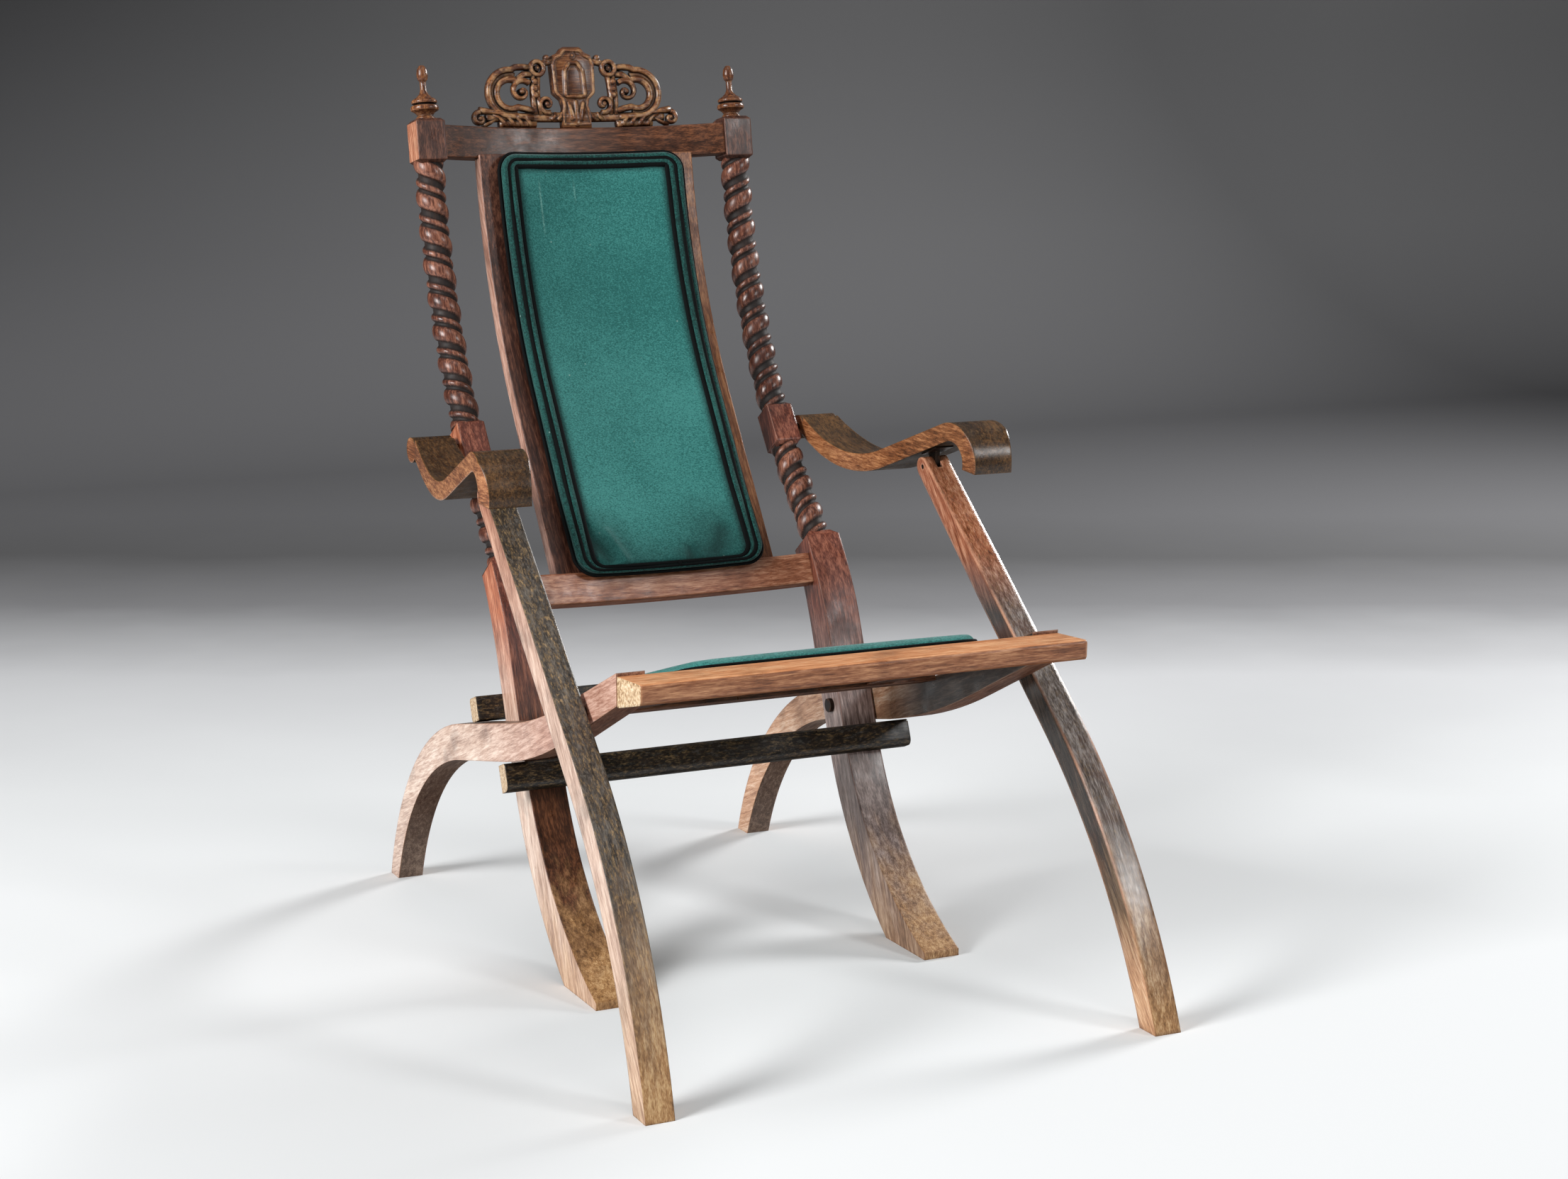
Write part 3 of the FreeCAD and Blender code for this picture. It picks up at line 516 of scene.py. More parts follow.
WOOD_OF = {"top_rail": "rail", "lower_back_rail": "lower_rail", "seat_rear_rail": "rail",
           "seat_front_rail": "front_rail", "front_stretcher": "stretcher", "rear_stretcher": "stretcher"}
for side in ("left_", "right_"):
    WOOD_OF.update({side + "post": side + "post", side + "finial": "finial",
                    side + "back_stile": side + "stile", side + "seat_rail": side + "seat_rail",
                    side + "seat_stile": "rail", side + "front_leg": side + "leg", side + "arm": "arm"})
WOOD_ARRIS, FINIAL_ARRIS, IRON_ARRIS = 1.6, 0.5, 0.3
ARRIS_ANGLE = radians(38)
WELD_REACH = 0.01


def dress(name, material, arris):
    """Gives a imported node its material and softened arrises."""
    node = NODES[name]
    node.data.materials.clear()
    node.data.materials.append(material)
    smooth(node.data)
    if "custom_normal" in node.data.attributes:
        node.data.attributes.remove(node.data.attributes["custom_normal"])
    weld = node.modifiers.new("weld", "WELD")
    weld.merge_threshold = WELD_REACH * MM
    bevel = node.modifiers.new("arris", "BEVEL")
    bevel.width = arris * MM
    bevel.segments = 2
    bevel.limit_method = "ANGLE"
    bevel.angle_limit = ARRIS_ANGLE
    bevel.harden_normals = True


for name in NODES:
    if name in WOOD_OF:
        dress(name, WOODS[WOOD_OF[name]], FINIAL_ARRIS if "finial" in name else WOOD_ARRIS)
    elif not name.endswith("_pad") and name != "crest":
        dress(name, IRON, IRON_ARRIS)


# Pieces made here.

def mesh_piece(name, verts, faces, material, body, painted_shade=None):
    """A smooth mesh from points in millimetres, riding on a body, with painted shade per point where given.
    """
    mesh = bpy.data.meshes.new(name)
    mesh.from_pydata([tuple(c * MM for c in v) for v in verts], [], faces)
    mesh.materials.append(material)
    smooth(mesh)
    piece = linked(name, mesh)
    shell = bmesh.new()
    shell.from_mesh(mesh)
    bmesh.ops.recalc_face_normals(shell, faces=shell.faces)
    shell.to_mesh(mesh)
    shell.free()
    if painted_shade:
        keep_painted_shade(mesh, painted_shade)
    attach(piece, body)
    return piece


def held(value, low=0.0, high=1.0):
    return max(low, min(high, value))


def neighbours(path, i, closed):
    """The points before and after one of a path, or the point itself at an open end."""
    count = len(path)
    before = path[i - 1] if i or closed else path[0]
    after = path[(i + 1) % count] if i + 1 < count or closed else path[-1]
    return before, after


def tube_faces(rings, around, closed=False):
    """Quads between successive rings of points, with caps unless the tube is closed on itself."""
    faces = []
    for i in range(rings if closed else rings - 1):
        a, b = i * around, (i + 1) % rings * around
        for k in range(around):
            n = (k + 1) % around
            faces.append((a + k, a + n, b + n, b + k))
    if not closed:
        faces.append(tuple(range(around)))
        faces.append(tuple((rings - 1) * around + k for k in range(around)))
    return faces


# Barley twist: a smooth skin on each faceted length of the posts, with painted shade in its grooves.
POST_CENTRE = 219.0
PITCH = 44.5
ROPE, BEAD, GROOVE = 20.4, 18.8, 15.1
ROPE_END, BEAD_START, BEAD_END = 0.50, 0.68, 0.91
ROPE_FULLNESS, BEAD_FULLNESS = 0.42, 0.5
# Painted shade in the grooves of the twist: none at this radius and outside, full this depth inside it.
SHADE_RADIUS, SHADE_DEPTH = 18.5, 1.5
LAP = 4
TWISTS = {"lower": (POST.at_height(470.0) + LAP, POST.at_height(582.0) + LAP),
          "upper": (POST.at_height(634.0) - LAP, POST.at_height(962.0) + LAP)}
AROUND = 96
RINGS_PER_PITCH = 30


def strand(radius, fullness, share):
    """Radius at a share of the way across a strand that rises from the groove."""
    return GROOVE + (radius - GROOVE) * sin(pi * share) ** fullness


def twist_radius(phase):
    """Radius at a part of a turn: a fat rope, a groove, a thin bead and a groove."""
    phase %= 1.0
    if phase < ROPE_END:
        return strand(ROPE, ROPE_FULLNESS, phase / ROPE_END)
    if BEAD_START < phase < BEAD_END:
        return strand(BEAD, BEAD_FULLNESS, (phase - BEAD_START) / (BEAD_END - BEAD_START))
    return GROOVE


def twist_skin(name, sign, first, last):
    """Skin of a twist between two lengths along the post; sign is -1 on the left and 1 on the right."""
    rings = int((last - first) / PITCH * RINGS_PER_PITCH)
    verts, shade_values = [], []
    for i in range(rings + 1):
        s = first + (last - first) * i / rings
        y, z, h = POST.at(s)
        turn = (s - first) / PITCH
        for k in range(AROUND):
            angle = 2 * pi * k / AROUND
            radius = twist_radius(k / AROUND - turn)
            across, behind = radius * sin(angle), -radius * cos(angle)
            verts.append((sign * (POST_CENTRE + across), y + behind * cos(h), z - behind * sin(h)))
            # Painted shade in the grooves, deepest where the radius is least.
            shade_values.append(held((SHADE_RADIUS - radius) / SHADE_DEPTH))
    mesh_piece(name, verts, tube_faces(rings + 1, AROUND), WOODS["twist"], "back_frame", shade_values)


for side, sign in (("left", -1), ("right", 1)):
    for part, (first, last) in TWISTS.items():
        twist_skin("%s_%s_twist" % (side, part), sign, first, last)


# Carved cresting, in its own plane: x across, h up, d behind the front face.
CREST_FOOT = (480.46, 1007.0)
CREST_LEAN = radians(11)
CREST_DEPTH = 16.0
THIN, MEDIUM, THICK = CREST_DEPTH - 3, CREST_DEPTH - 2, CREST_DEPTH - 1


class Carving:
    """Gathers the mouldings of one carved board, with painted shade on their sides and in their grooves.

    Mouldings and bosses stand between a front and a back depth."""

    STRIP_AROUND = 16
    VOLUTE_STEPS = 40
    BOSS_AROUND, BOSS_ROWS = 48, 8
    BOSS_DOME = 0.75
    GROOVE_PLACE, GROOVE_WIDTH, GROOVE_DEPTH = 0.42, 0.10, 1.6
    PETAL_NOTCH = 0.16
    # Painted shade on the walls of bosses, on the board and on the backs of mouldings.
    WALL_GRIME, BOARD_GRIME, REAR_GRIME = 0.8, 0.15, 0.3

    def __init__(self):
        self.verts, self.faces, self.shade_values = [], [], []

    def add(self, points, faces):
        """Takes points of (x, h, d, painted shade)."""
        base = len(self.verts)
        c, s = cos(CREST_LEAN), sin(CREST_LEAN)
        for x, h, d, shade_values in points:
            self.verts.append((x, CREST_FOOT[0] + d * c + h * s, CREST_FOOT[1] - d * s + h * c))
            self.shade_values.append(shade_values)
        self.faces += [tuple(base + k for k in face) for face in faces]

    def moulding(self, path, half, front, back, closed=False):
        """A rounded strip along a path of (x, h); half widths run from first to last along it."""
        around, count = self.STRIP_AROUND, len(path)
        points = []
        for i, (x, h) in enumerate(path):
            before, after = neighbours(path, i, closed)
            dx, dh = after[0] - before[0], after[1] - before[1]
            long = hypot(dx, dh) or 1.0
            nx, nh = -dh / long, dx / long
            wide = half[0] + (half[1] - half[0]) * i / (count - 1)
            mid, deep = (front + back) / 2, (back - front) / 2 * min(1.0, wide / max(half) + 0.25)
            for k in range(around):
                a = 2 * pi * k / around
                across, rise = cos(a), sin(a)
                # Painted shade down the sides of a moulding, away from its crown.
                shade_values = held((0.55 - rise) * 2.2, 0.0, 0.9) if rise > -0.5 else self.REAR_GRIME
                points.append((x + nx * wide * across, h + nh * wide * across, mid - deep * rise, shade_values))
        self.add(points, tube_faces(count, around, closed))

    def volute(self, x, h, start, end, angle, turn, half, front, back):
        """A spiral moulding that ends in a round eye."""
        path = []
        for i in range(self.VOLUTE_STEPS + 1):
            t = i / self.VOLUTE_STEPS
            radius = start + (end - start) * t
            a = radians(angle + turn * t)
            path.append((x + radius * cos(a), h + radius * sin(a)))
        self.moulding(path, half, front, back)
        self.boss(x, h, end + half[1] * 0.9, front - 0.5, back)

    def boss(self, x, h, radius, front, back, petals=0):
        """A domed disc, with petals round a groove where a count is given."""
        around, rows = self.BOSS_AROUND, self.BOSS_ROWS
        points = [(x, h, front, 0.0)]
        for j in range(1, rows + 1):
            t = j / rows
            for k in range(around):
                a = 2 * pi * k / around
                notch = abs(sin(petals * a / 2)) * t if petals else 0.0
                dip = exp(-((t - self.GROOVE_PLACE) / self.GROOVE_WIDTH) ** 2) if petals else 0.0
                sink = (back - front) * (1 - sqrt(max(0.0, 1 - t * t))) * self.BOSS_DOME
                reach = radius * t * (1.0 - self.PETAL_NOTCH * notch)
                # Painted shade in the groove, towards the wall and between petals.
                points.append((x + reach * cos(a), h + reach * sin(a),
                               front + sink + self.GROOVE_DEPTH * dip,
                               max(dip, self.WALL_GRIME * t ** 3, 0.7 * notch ** 4)))
        faces = [(0, 1 + k, 1 + (k + 1) % around) for k in range(around)]
        for j in range(rows - 1):
            for k in range(around):
                a, n = 1 + j * around, (k + 1) % around
                faces.append((a + k, a + n, a + around + n, a + around + k))
        rim = 1 + (rows - 1) * around
        wall = len(points)
        points += [(px, ph, back, self.WALL_GRIME) for px, ph, _, _ in points[rim:rim + around]]
        for k in range(around):
            n = (k + 1) % around
            faces.append((rim + k, rim + n, wall + n, wall + k))
        faces.append(tuple(wall + k for k in range(around)))
        self.add(points, faces)

    def board(self, outline, front, back, ease):
        """A flat board with an eased front edge."""
        count = len(outline)
        cx = sum(p[0] for p in outline) / count
        ch = sum(p[1] for p in outline) / count
        rings = ((0.0, back), (0.0, front + ease), (ease * 0.4, front + ease * 0.3), (ease, front))
        points = []
        for shrink, depth in rings:
            for x, h in outline:
                k = 1 - shrink / hypot(x - cx, h - ch)
                points.append((cx + (x - cx) * k, ch + (h - ch) * k, depth, self.BOARD_GRIME))
        self.add(points, tube_faces(len(rings), count))


def arc(x, h, radius, first, last, steps):
    """Points of an arc from one angle in degrees to another."""
    angles = [radians(first + (last - first) * i / steps) for i in range(steps + 1)]
    return [(x + radius * cos(a), h + radius * sin(a)) for a in angles]


def rounded_path(corners, steps=5):
    """Closed path through (x, h, radius) corners, each rounded by its radius."""
    path = []
    count = len(corners)
    for i in range(count):
        before, here, after = (Vector(corners[k % count][:2]) for k in (i - 1, i, i + 1))
        radius = corners[i][2]
        if radius <= 0:
            path.append(tuple(here))
            continue
        a, b = (before - here).normalized(), (after - here).normalized()
        room = min((before - here).length, (after - here).length) * 0.49
        reach = min(radius / tan(a.angle(b) / 2), room)
        start, end = here + a * reach, here + b * reach
        for k in range(steps + 1):
            t = k / steps
            path.append(tuple(start * (1 - t) ** 2 + here * 2 * t * (1 - t) + end * t * t))
    return path


HALF_SHIELD = [(21, 0, 0), (21, 15, 3), (17.5, 27, 6), (20, 38, 5), (30, 47, 6), (31.5, 88, 6), (28, 97.5, 4),
               (19, 101.5, 4), (13, 109, 7)]
SHIELD = HALF_SHIELD + [(-x, h, r) for x, h, r in reversed(HALF_SHIELD)]
INNER_SHIELD = [(x * 0.90, 5 + h * 0.905, r) for x, h, r in SHIELD]
NICHE = [(14, 42, 4), (12.5, 76, 9), (6, 87, 6), (-6, 87, 6), (-12.5, 76, 9), (-14, 42, 4)]
LEAVES = (((0, 10), (0, 37)), ((5, 10), (12, 34)), ((-5, 10), (-12, 34)))
LOOP_CENTRE, LOOP_STEPS = 91, 44
ROSETTE = (51, 80)


def carve_shield(crest):
    """The shield in the middle, with its niche, bosses and leaves."""
    crest.board(rounded_path(SHIELD), 4.0, CREST_DEPTH, 2.5)
    crest.moulding(rounded_path(INNER_SHIELD), (2.4, 2.4), 1.8, 8, True)
    crest.moulding(rounded_path(NICHE), (2.8, 2.8), 0.2, 8, True)
    crest.boss(0, 97, 7.0, 1.5, 8, petals=5)
    crest.boss(0, 8, 8, 1.0, 10)
    for (x0, h0), (x1, h1) in LEAVES:
        crest.moulding([(x0 + (x1 - x0) * t, h0 + (h1 - h0) * sin(t * pi / 2))
                        for t in np.linspace(0, 1, 12)], (4.6, 2.2), 0.8, 10)


def carve_side(crest, side):
    """The scrolls of one half; side is -1 on the left and 1 on the right."""
    def strip(path, half, front, back):
        crest.moulding([(side * x, h) for x, h in path], half, front, back)

    outer, inner = (arc(LOOP_CENTRE, h, radius, first, last, LOOP_STEPS)
                    for h, radius, first, last in ((47, 31.2, 95, -100), (46, 19.8, 118, -118)))
    strip([(60, 81), (72, 82), (82, 81.5)] + outer + [(74, 15), (62, 14)], (4.6, 4.6), 1.0, MEDIUM)
    strip([(60, 72.5), (70, 72)] + inner + [(70, 26), (60, 23)], (5.0, 4.6), 2.0, MEDIUM)
    strip(arc(LOOP_CENTRE, 46.5, 25.6, 108, -108, LOOP_STEPS), (4.4, 4.4), 6.0, THIN)
    strip([(x, 15) for x in np.linspace(12, 128, 30)], (7.0, 6.0), 4.4, THICK)
    for shift in (-3.6, 3.4):
        stem = ((54, 18), (55.5, 32), (56, 46), (55, 60), (53, 74))
        strip([(x + shift, h) for x, h in stem], (4.0, 3.6), 2.8, THIN)
    for h in (62, 53, 44):
        crest.boss(side * 56, h, 5.4, 0.2, 9)
    strip([(28, 89), (36, 88.5), (44, 86)], (4.6, 4.6), 2.5, THIN)
    crest.boss(side * 36, 94, 4.6, 1.2, 9)
    strip([(58, 5), (70, 6.5), (84, 6), (98, 6.5), (110, 5)], (5.5, 5.0), 3.5, THICK)
    for x in (66, 78, 90, 102):
        strip([(x, 3), (x + 3, 9), (x + 9, 15), (x + 17, 18)], (3.8, 1.6), 1.0, 11)
    for x in (22, 31):
        strip([(x + 6, 11), (x + 1, 15), (x - 1, 21)], (3.4, 1.6), 1.6, 11)
    strip([(137, 24), (124, 23), (110, 20), (97, 17)], (5.5, 1.5), 1.0, THIN)
    strip([(133, 4), (122, 8), (112, 14)], (3.6, 1.2), 1.2, THIN)
    for x, h, start, angle, turn in ((75, 49, 16.0, 136, -400), (41, 32, 12.0, 250, 400),
                                     (137, 13, 9.0, 90, -330)):
        crest.volute(side * x, h, start, 3.0, angle if side > 0 else 180 - angle, side * turn, (4.2, 2.2),
                     0.6, THIN)
    x, h = side * ROSETTE[0], ROSETTE[1]
    crest.moulding(arc(x, h, 9.0, 0, 350, 40), (3.6, 3.6), 0.2, 12, True)
    crest.boss(x, h, 5.6, 1.0, 12, petals=5)


crest = Carving()
carve_shield(crest)
for side in (-1, 1):
    carve_side(crest, side)
crest_piece = mesh_piece("carved_crest", crest.verts, crest.faces, WOODS["carving"], "back_frame",
                         crest.shade_values)
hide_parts("crest")


# Upholstered panels.

class Panel:
    """A stuffed panel laid along a line.

    half is its half width, first and last are its ends along the line, rear is the height of its rear face
    before the line, bow is how far its middle bows back at the first and last ends, and corner is the
    radius of its corners. edge, crown and roll are the height of its border, the rise of its middle and the
    width of its rounded border. forward is how far its first end is brought forward, and ends is how much
    narrower its border is at the first and last ends."""

    COLUMNS = 40
    CORNER_STEPS = 10
    LEAST_CORNER = 3.0
    FOOT_CORNER = 0.4
    FORWARD_PART = 0.2
    RIM = 0.5
    PROBE = 80

    def __init__(self, line, half, first, last, rear, bow, corner, edge, crown, roll, forward=0.0,
                 ends=(1.0, 1.0)):
        self.line, self.half, self.first, self.last = line, half, first, last
        self.rear, self.bow, self.corner, self.forward, self.ends = rear, bow, corner, forward, ends
        self.edge, self.crown, self.roll = edge, crown, roll

    def point(self, x, s, out):
        """Point at x across and s along, out before the rear face."""
        y, z, h = self.line.at(s)
        t = (s - self.first) / (self.last - self.first)
        bow = (self.bow[0] + (self.bow[1] - self.bow[0]) * t) * (1 - (x / self.half) ** 2)
        behind = bow - self.rear - self.forward * max(0.0, 1 - t / self.FORWARD_PART) - out
        return Vector((x, y + behind * cos(h), z - behind * sin(h)))

    def normal(self, s):
        """Direction out of the face at s along."""
        h = self.line.at(s)[2]
        return Vector((0.0, -cos(h), sin(h)))

    def inset(self, x, s):
        """Distance inside the rounded outline."""
        mid, long = (self.first + self.last) / 2, (self.last - self.first) / 2
        qx, qs = abs(x) - self.half + self.corner, abs(s - mid) - long + self.corner
        outside = hypot(max(qx, 0.0), max(qs, 0.0)) + min(max(qx, qs), 0.0)
        return self.corner - outside

    def margin(self, x, s):
        """Distance inside the border's edge, measured with the ends drawn out to the width of the sides."""
        return min(self.half - abs(x), (s - self.first) / self.ends[0], (self.last - s) / self.ends[1])

    def locate(self, point):
        """The (x, s) of a point near the panel."""
        s = (self.first + self.last) / 2
        for _ in range(6):
            y, z, h = self.line.at(s)
            s += (point[1] - y) * sin(h) + (point[2] - z) * cos(h)
        return point[0], s

    def loop(self, inset, step=5.0):
        """Closed path of (x, s) at a distance inside the outline."""
        a = self.half - inset
        low, high = self.first + inset * self.ends[0], self.last - inset * self.ends[1]
        r = max(self.corner - inset, self.LEAST_CORNER)
        base = max(self.corner - self.FOOT_CORNER * inset, self.LEAST_CORNER)
        path = []
        for cx, cs, radius, start in ((a - r, high - r, r, 0), (r - a, high - r, r, 90),
                                      (base - a, low + base, base, 180), (a - base, low + base, base, 270)):
            path += arc(cx, cs, radius, start, start + 90, self.CORNER_STEPS)
        even = []
        for (x0, s0), (x1, s1) in zip(path, path[1:] + path[:1]):
            count = max(1, int(hypot(x1 - x0, s1 - s0) / step))
            even += [(x0 + (x1 - x0) * k / count, s0 + (s1 - s0) * k / count) for k in range(count)]
        return even

    def swell(self, x, s):
        """Designed height of the pad's face."""
        t = held(self.inset(x, s) / self.roll)
        rise = self.edge * (self.RIM + (1 - self.RIM) * sqrt(1 - (1 - t) ** 2))
        u, v = x / self.half, (2 * s - self.first - self.last) / (self.last - self.first)
        return rise + self.crown * max(0.0, (1 - u * u) * (1 - v * v)) ** 0.5

    def rounded(self, x, s):
        """The place itself, or the nearest on the outline for a place outside a corner."""
        if self.inset(x, s) >= 0:
            return x, s
        cx = held(x, -self.half + self.corner, self.half - self.corner)
        cs = held(s, self.first + self.corner, self.last - self.corner)
        k = self.corner / hypot(x - cx, s - cs)
        return cx + (x - cx) * k, cs + (s - cs) * k

    def cushion(self, name, material, body):
        """Closed pad with drawn-in sides and a crowned face."""
        columns = self.COLUMNS
        rows = int(columns * (self.last - self.first) / (2 * self.half))
        front, back = [], []
        for j in range(rows + 1):
            for i in range(columns + 1):
                x, s = self.rounded(self.half * (2 * i / columns - 1),
                                    self.first + (self.last - self.first) * j / rows)
                front.append(self.point(x, s, self.swell(x, s)))
                back.append(self.point(x, s, 0.0))
        count = len(front)
        wide = columns + 1
        faces = []
        for j in range(rows):
            for i in range(columns):
                a = j * wide + i
                faces.append((a, a + 1, a + wide + 1, a + wide))
                faces.append(tuple(count + k for k in (a, a + wide, a + wide + 1, a + 1)))
        rim = list(range(wide)) + [j * wide + columns for j in range(1, rows + 1)]
        rim += [rows * wide + i for i in range(columns - 1, -1, -1)]
        rim += [j * wide for j in range(rows - 1, 0, -1)]
        for a, b in zip(rim, rim[1:] + rim[:1]):
            faces.append((a, count + a, count + b, b))
        return mesh_piece(name, front + back, faces, material, body)

    def surface(self, piece):
        """Height before the rear face at which the pad's face is met, as a function of (x, s)."""
        tree = BVHTree.FromObject(piece, bpy.context.evaluated_depsgraph_get())

        def height(x, s):
            top, low = self.point(x, s, self.PROBE) * MM, self.point(x, s, 0) * MM
            hit = tree.ray_cast(top, (low - top).normalized())
            return self.PROBE - (hit[0] - top).length / MM if hit[0] else 0.0
        return height


CLOTH_FRAMES = 20
CLOTH_QUALITY = 5


def swelled(panel, piece, voxel, pressure, cap):
    """Blows a pad up as cloth and keeps what moved outward, no point further than the cap."""
    scene = bpy.context.scene
    remesh = piece.modifiers.new("even", "REMESH")
    remesh.mode = "VOXEL"
    remesh.voxel_size = voxel * MM
    even = bpy.data.meshes.new_from_object(evaluated(piece))
    even.name = piece.name + "_even"
    piece.modifiers.remove(remesh)
    piece.data = even
    rest = np.array([v.co for v in even.vertices])
    cloth = piece.modifiers.new("cloth", "CLOTH")
    cloth.settings.use_pressure = True
    cloth.settings.uniform_pressure_force = pressure
    cloth.settings.effector_weights.gravity = 0.0
    cloth.settings.quality = CLOTH_QUALITY
    cloth.point_cache.frame_start, cloth.point_cache.frame_end = 1, CLOTH_FRAMES
    for step in range(1, CLOTH_FRAMES + 1):
        scene.frame_set(step)
    blown = evaluated(piece).to_mesh()
    moved = np.array([v.co for v in blown.vertices]) - rest
    outward = np.array([panel.normal(panel.locate(place / MM)[1]) for place in rest])
    moved = outward * np.clip((moved * outward).sum(axis=1, keepdims=True), 0.0, cap * MM)
    evaluated(piece).to_mesh_clear()
    piece.modifiers.remove(cloth)
    scene.frame_set(1)
    even.vertices.foreach_set("co", (rest + moved).astype(np.float32).ravel())
    smooth(even)
    even.update()
    fine = piece.modifiers.new("fine", "SUBSURF")
    fine.levels = fine.render_levels = 1


def apart(place, start, end):
    """Distance of a place from the straight between two others."""
    along, reach = Vector(end) - Vector(start), Vector(place) - Vector(start)
    return (reach - along * held(reach.dot(along) / along.length_squared)).length


FACE_HEIGHT = 5.0
# A fold pressed this deep gets full painted shade in its hollow.
FULL_SHADE_FOLD = 10.0


def creased(panel, piece, folds, full, none):
    """Presses folds of (start, end, height, spread) into a pad's face, and paints shade beside its border
    from one margin, in full, to another, none, and in the hollows of the folds."""
    shade_values = []
    for vertex in piece.data.vertices:
        x, s = panel.locate(vertex.co / MM)
        outward = panel.normal(s)
        dark = held((none - panel.margin(x, s)) / (none - full))
        if (vertex.co / MM - panel.point(x, s, 0.0)).dot(outward) > FACE_HEIGHT:
            for start, end, height, spread in folds:
                press = height * exp(-(apart((x, s), start, end) / spread) ** 2)
                vertex.co += outward * MM * press
                dark = max(dark, -press / FULL_SHADE_FOLD)
        shade_values.append(dark)
    keep_painted_shade(piece.data, shade_values)
    piece.data.update()


ROLL_AROUND = 12
SMOOTHING = 4
PIPING_TAPER = 0.3


def roll(name, path, width, height, material, body, slot, closed=True):
    """A roll of cloth or cord along points of (place, normal, share of the size)."""
    verts = []
    for i, (here, normal, share) in enumerate(path):
        before, after = neighbours(path, i, closed)
        tangent = (after[0] - before[0]).normalized()
        across = tangent.cross(normal).normalized()
        up = across.cross(tangent)
        wide, tall = width * share, height * share ** 0.5
        for k in range(ROLL_AROUND):
            a = 2 * pi * k / ROLL_AROUND
            verts.append(here + across * wide * cos(a) + up * tall * sin(a))
    return mesh_piece(name, verts, tube_faces(len(path), ROLL_AROUND, closed), material, body)


def bordered(panel, piece, prefix, lines, body, material):
    """Rolls and piping round a panel's face; lines are (name, inset, half width, half height, lift, cloth),
    and a line without a cloth of its own has the material."""
    height = panel.surface(piece)
    for name, inset, width, tall, lift, cloth in lines:
        loop = panel.loop(inset)
        heights = [max(height(x, s), panel.swell(x, s)) for x, s in loop]
        count = len(loop)
        path = []
        for i, (x, s) in enumerate(loop):
            near = [heights[(i + k) % count] for k in range(-SMOOTHING, SMOOTHING + 1)]
            run = Vector(loop[(i + 1) % count]) - Vector(loop[i - 1])
            end = panel.ends[0] if 2 * s < panel.first + panel.last else panel.ends[1]
            share = 1 - (1 - (end ** PIPING_TAPER if cloth else end)) * abs(run.x) / run.length
            path.append((panel.point(x, s, sum(near) / len(near) + lift), panel.normal(s), share))
        roll("%s_%s" % (prefix, name), path, width, tall, cloth or material, body, "teal_wool")


TEAL = shades((30, 92, 88), (46, 114, 109), (66, 136, 130))
DEEP_TEAL = shades((10, 40, 38), (22, 66, 62), (42, 94, 88))
# The back's dark patches near its foot are stain and painted shade of its folds.
BACK_WOOL = wool("teal_wool_back", TEAL,
                 stains_and_shade=[((0.072, 0.184, 0.480), 0.085, 0.62), ((0.029, 0.173, 0.467), 0.032, 0.75),
                         ((-0.036, 0.170, 0.458), 0.055, 0.60), ((-0.098, 0.190, 0.490), 0.060, 0.65)],
                 streaks=[(-0.075, 0.865, 0.945), (-0.024, 0.905, 0.940)])
SEAT_WOOL = wool("teal_wool_seat", TEAL)
# The border's cloth has painted shade in the grooves between its rolls.
BORDER_WOOL = wool("teal_wool_border", DEEP_TEAL, shaded_channels=True)
VOXEL, PRESSURE = 4.0, 4.0

# The back panel, with folds at its foot.
BACK_TOP = BACK.at_height(986)
BACK_FOLDS = [((-82, 34), (-65, -6), 4.5, 6.0), ((-106, 42), (-82, -4), -5.0, 9.0),
              ((84, 26), (66, -6), -4.5, 12.0), ((29, 2), (29, -8), -3.0, 6.0)]
back_panel = Panel(BACK, half=131.0, first=-22.0, last=BACK_TOP, rear=7.0, bow=(6.0, 24.0), corner=26.0,
                   edge=11.0, crown=6.0, roll=16.0, forward=8.0, ends=(0.36, 0.80))
back_pad = back_panel.cushion("back_cushion", BACK_WOOL, "back_frame")
swelled(back_panel, back_pad, VOXEL, PRESSURE, cap=3.0)
creased(back_panel, back_pad, BACK_FOLDS, full=25.5, none=35.0)
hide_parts("back_pad")
bordered(back_panel, back_pad, "back", [
    ("outer_roll", 6.2, 4.6, 4.2, 0.5, None),
    ("inner_roll", 16.6, 4.4, 3.6, 0.0, None),
    ("outer_piping", 0.2, 2.6, 2.4, -1.6, PIPING),
    ("middle_piping", 11.4, 2.7, 2.2, 1.8, PIPING),
    ("inner_piping", 22.8, 3.4, 2.2, 0.6, PIPING),
], "back_frame", BORDER_WOOL)

# The loose end of the piping at the foot of the back panel.
END_FROM, END_TO = Vector((7.0, -12.5)), Vector((12.0, -20.0))
END_LIFT, END_DROOP = 3.6, 1.2
face = back_panel.surface(back_pad)
piping_end = []
for t in np.linspace(0.0, 1.0, 9):
    x, s = END_FROM.lerp(END_TO, t)
    out = face(x, s) + END_LIFT - END_DROOP * (2 * t - 1) ** 2
    piping_end.append((back_panel.point(x, s, out), back_panel.normal(s), 0.6 + 0.4 * sin(pi * t)))
roll("back_piping_end", piping_end, 2.2, 2.0, PIPING, "back_frame", "teal_wool", closed=False)

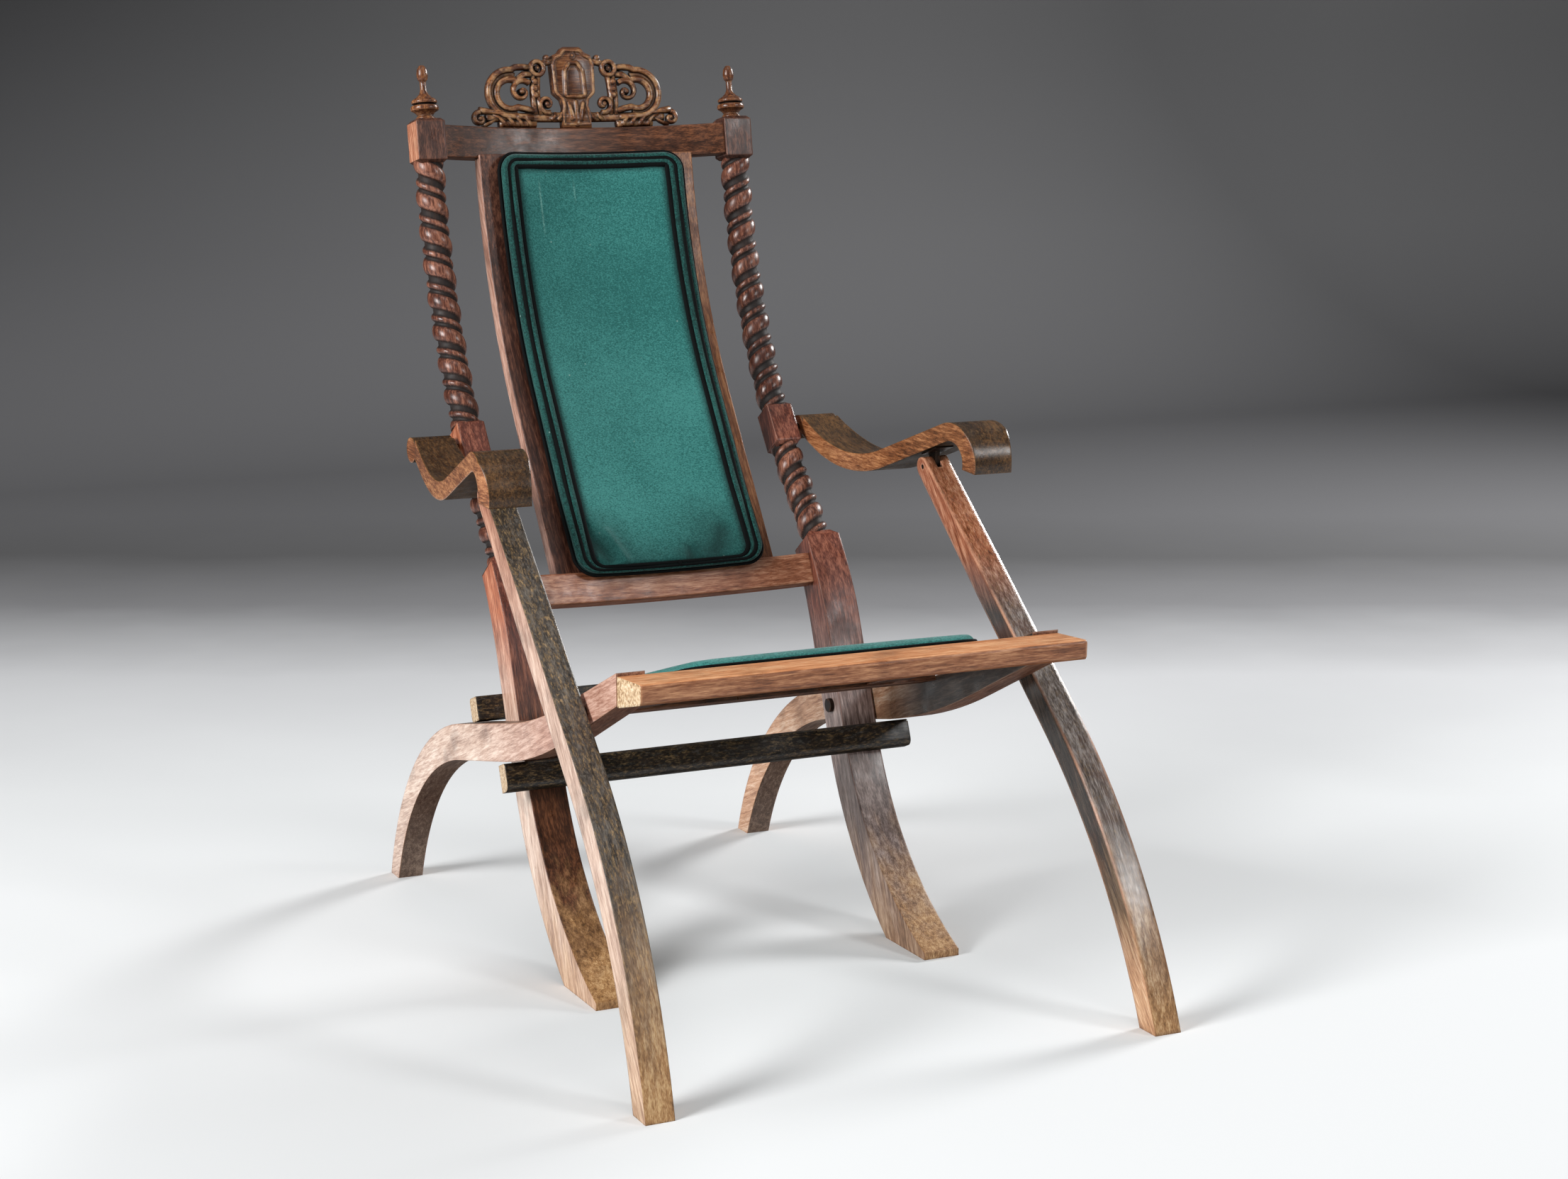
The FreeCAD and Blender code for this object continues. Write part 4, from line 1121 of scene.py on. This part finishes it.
# The seat.
SEAT_PIPING, SEAT_PIPING_OUT, SEAT_PIPING_HEIGHT = 2.2, 0.4, 4.6
seat_panel = Panel(SEAT, half=184.0, first=28.0, last=380.0, rear=0.4, bow=(0.0, 0.0), corner=28.0, edge=11.0,
                   crown=4.0, roll=9.0)
seat_pad = seat_panel.cushion("seat_cushion", SEAT_WOOL, "seat_frame")
swelled(seat_panel, seat_pad, VOXEL, PRESSURE, cap=2.0)
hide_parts("seat_pad")
rim = [(seat_panel.point(x, s, SEAT_PIPING_HEIGHT), seat_panel.normal(s), 1.0)
       for x, s in seat_panel.loop(-SEAT_PIPING_OUT)]
roll("seat_piping", rim, SEAT_PIPING, SEAT_PIPING, PIPING, "seat_frame", "teal_wool")


# Floor, backdrop, light and camera.
FOCAL_PIXELS, IMAGE_WIDTH = 3938.0, 2212.0
AZIMUTH, ELEVATION = radians(25.77), radians(10.49)
CAMERA = (-1.401, -3.054, 1.079)
MIDDLE = (0.0, 0.0, 0.5)
SKY = 0.20


def stage_material(name):
    """Plain paper with painted fall-off of the light: palest round the chair, greyer away from it along the
    camera's azimuth and darkest in a band behind it, with the wall darker at the top and to the left.
    """
    g = Graph(name)
    axes = g.parts(g.place())
    ahead = g.node("VectorMath", {0: g.place(), 1: (sin(AZIMUTH), cos(AZIMUTH), 0.0)},
                   operation="DOT_PRODUCT").outputs["Value"]
    mottle = g.span(g.noise(g.place(), 2.5, 3.0), 0.0, 1.0, -0.02, 0.02)
    tone = g.math("ADD", g.span(ahead, -1.0, 4.0), mottle)
    paper = g.ramp(tone, (0.35, 0.52, 0.66, 0.78, 0.90),
                   (srgb(226, 228, 229), srgb(203, 204, 206), srgb(134, 134, 136), srgb(100, 100, 101),
                    srgb(112, 112, 114)))
    across = g.span(axes["X"], 0.0, 5.0)
    low_wall = g.mix(across, srgb(104, 104, 106), srgb(146, 146, 148))
    high_wall = g.mix(across, srgb(58, 58, 59), srgb(136, 136, 137))
    wall = g.mix(g.span(axes["Z"], 0.1, 1.3), low_wall, high_wall)
    g.set(Base_Color=g.mix(g.span(axes["Y"], 4.4, 5.3), paper, wall), Roughness=0.9, Specular_IOR_Level=0.1)
    return g.material


def sweep_stage():
    """A floor that turns up into a backdrop behind the chair."""
    rise, turn, width, front, behind, steps = 5.0, 1.2, 14.0, -9.0, 5.5, 16
    profile = [(front, 0.0), (behind - turn, 0.0)]
    for k in range(1, steps + 1):
        a = pi / 2 * k / steps
        profile.append((behind - turn + turn * sin(a), turn - turn * cos(a)))
    profile.append((behind, rise))
    verts = [(x, y, z) for y, z in profile for x in (-width, width)]
    faces = [(2 * i, 2 * i + 1, 2 * i + 3, 2 * i + 2) for i in range(len(profile) - 1)]
    mesh = bpy.data.meshes.new("studio_sweep")
    mesh.from_pydata(verts, [], faces)
    smooth(mesh)
    mesh.materials.append(stage_material("studio_paper"))
    sweep = linked("studio_sweep", mesh)


def area_light(name, place, width, height, power):
    """A softbox that looks at the middle of the chair."""
    data = bpy.data.lights.new(name, "AREA")
    data.shape = "RECTANGLE"
    data.size, data.size_y, data.energy = width, height, power
    lamp = linked(name, data)
    lamp.location = place
    lamp.rotation_euler = (Vector(MIDDLE) - Vector(place)).to_track_quat("-Z", "Y").to_euler()


sweep_stage()
area_light("key_softbox", (-5.0, -1.0, 2.8), 1.9, 1.9, 350)
area_light("right_softbox", (4.6, 1.4, 2.8), 1.2, 1.2, 190)
area_light("top_softbox", (-0.3, -1.2, 5.0), 2.4, 2.4, 34)
area_light("front_softbox", (2.55, -3.15, 2.6), 0.9, 1.0, 50)
world = bpy.data.worlds.new("studio")
bpy.context.scene.world = world
world.use_nodes = True
world.node_tree.nodes["Background"].inputs["Color"].default_value = (1.0, 1.0, 1.0, 1.0)
world.node_tree.nodes["Background"].inputs["Strength"].default_value = SKY

lens = bpy.data.cameras.new("camera")
lens.sensor_width = 36.0
lens.lens = FOCAL_PIXELS / IMAGE_WIDTH * lens.sensor_width
camera = linked("camera", lens)
camera.location = CAMERA
forward = Vector((sin(AZIMUTH) * cos(ELEVATION), cos(AZIMUTH) * cos(ELEVATION),
                  -sin(ELEVATION)))
camera.rotation_euler = forward.to_track_quat("-Z", "Y").to_euler()
bpy.context.scene.camera = camera
bpy.context.scene.view_settings.view_transform = "Standard"
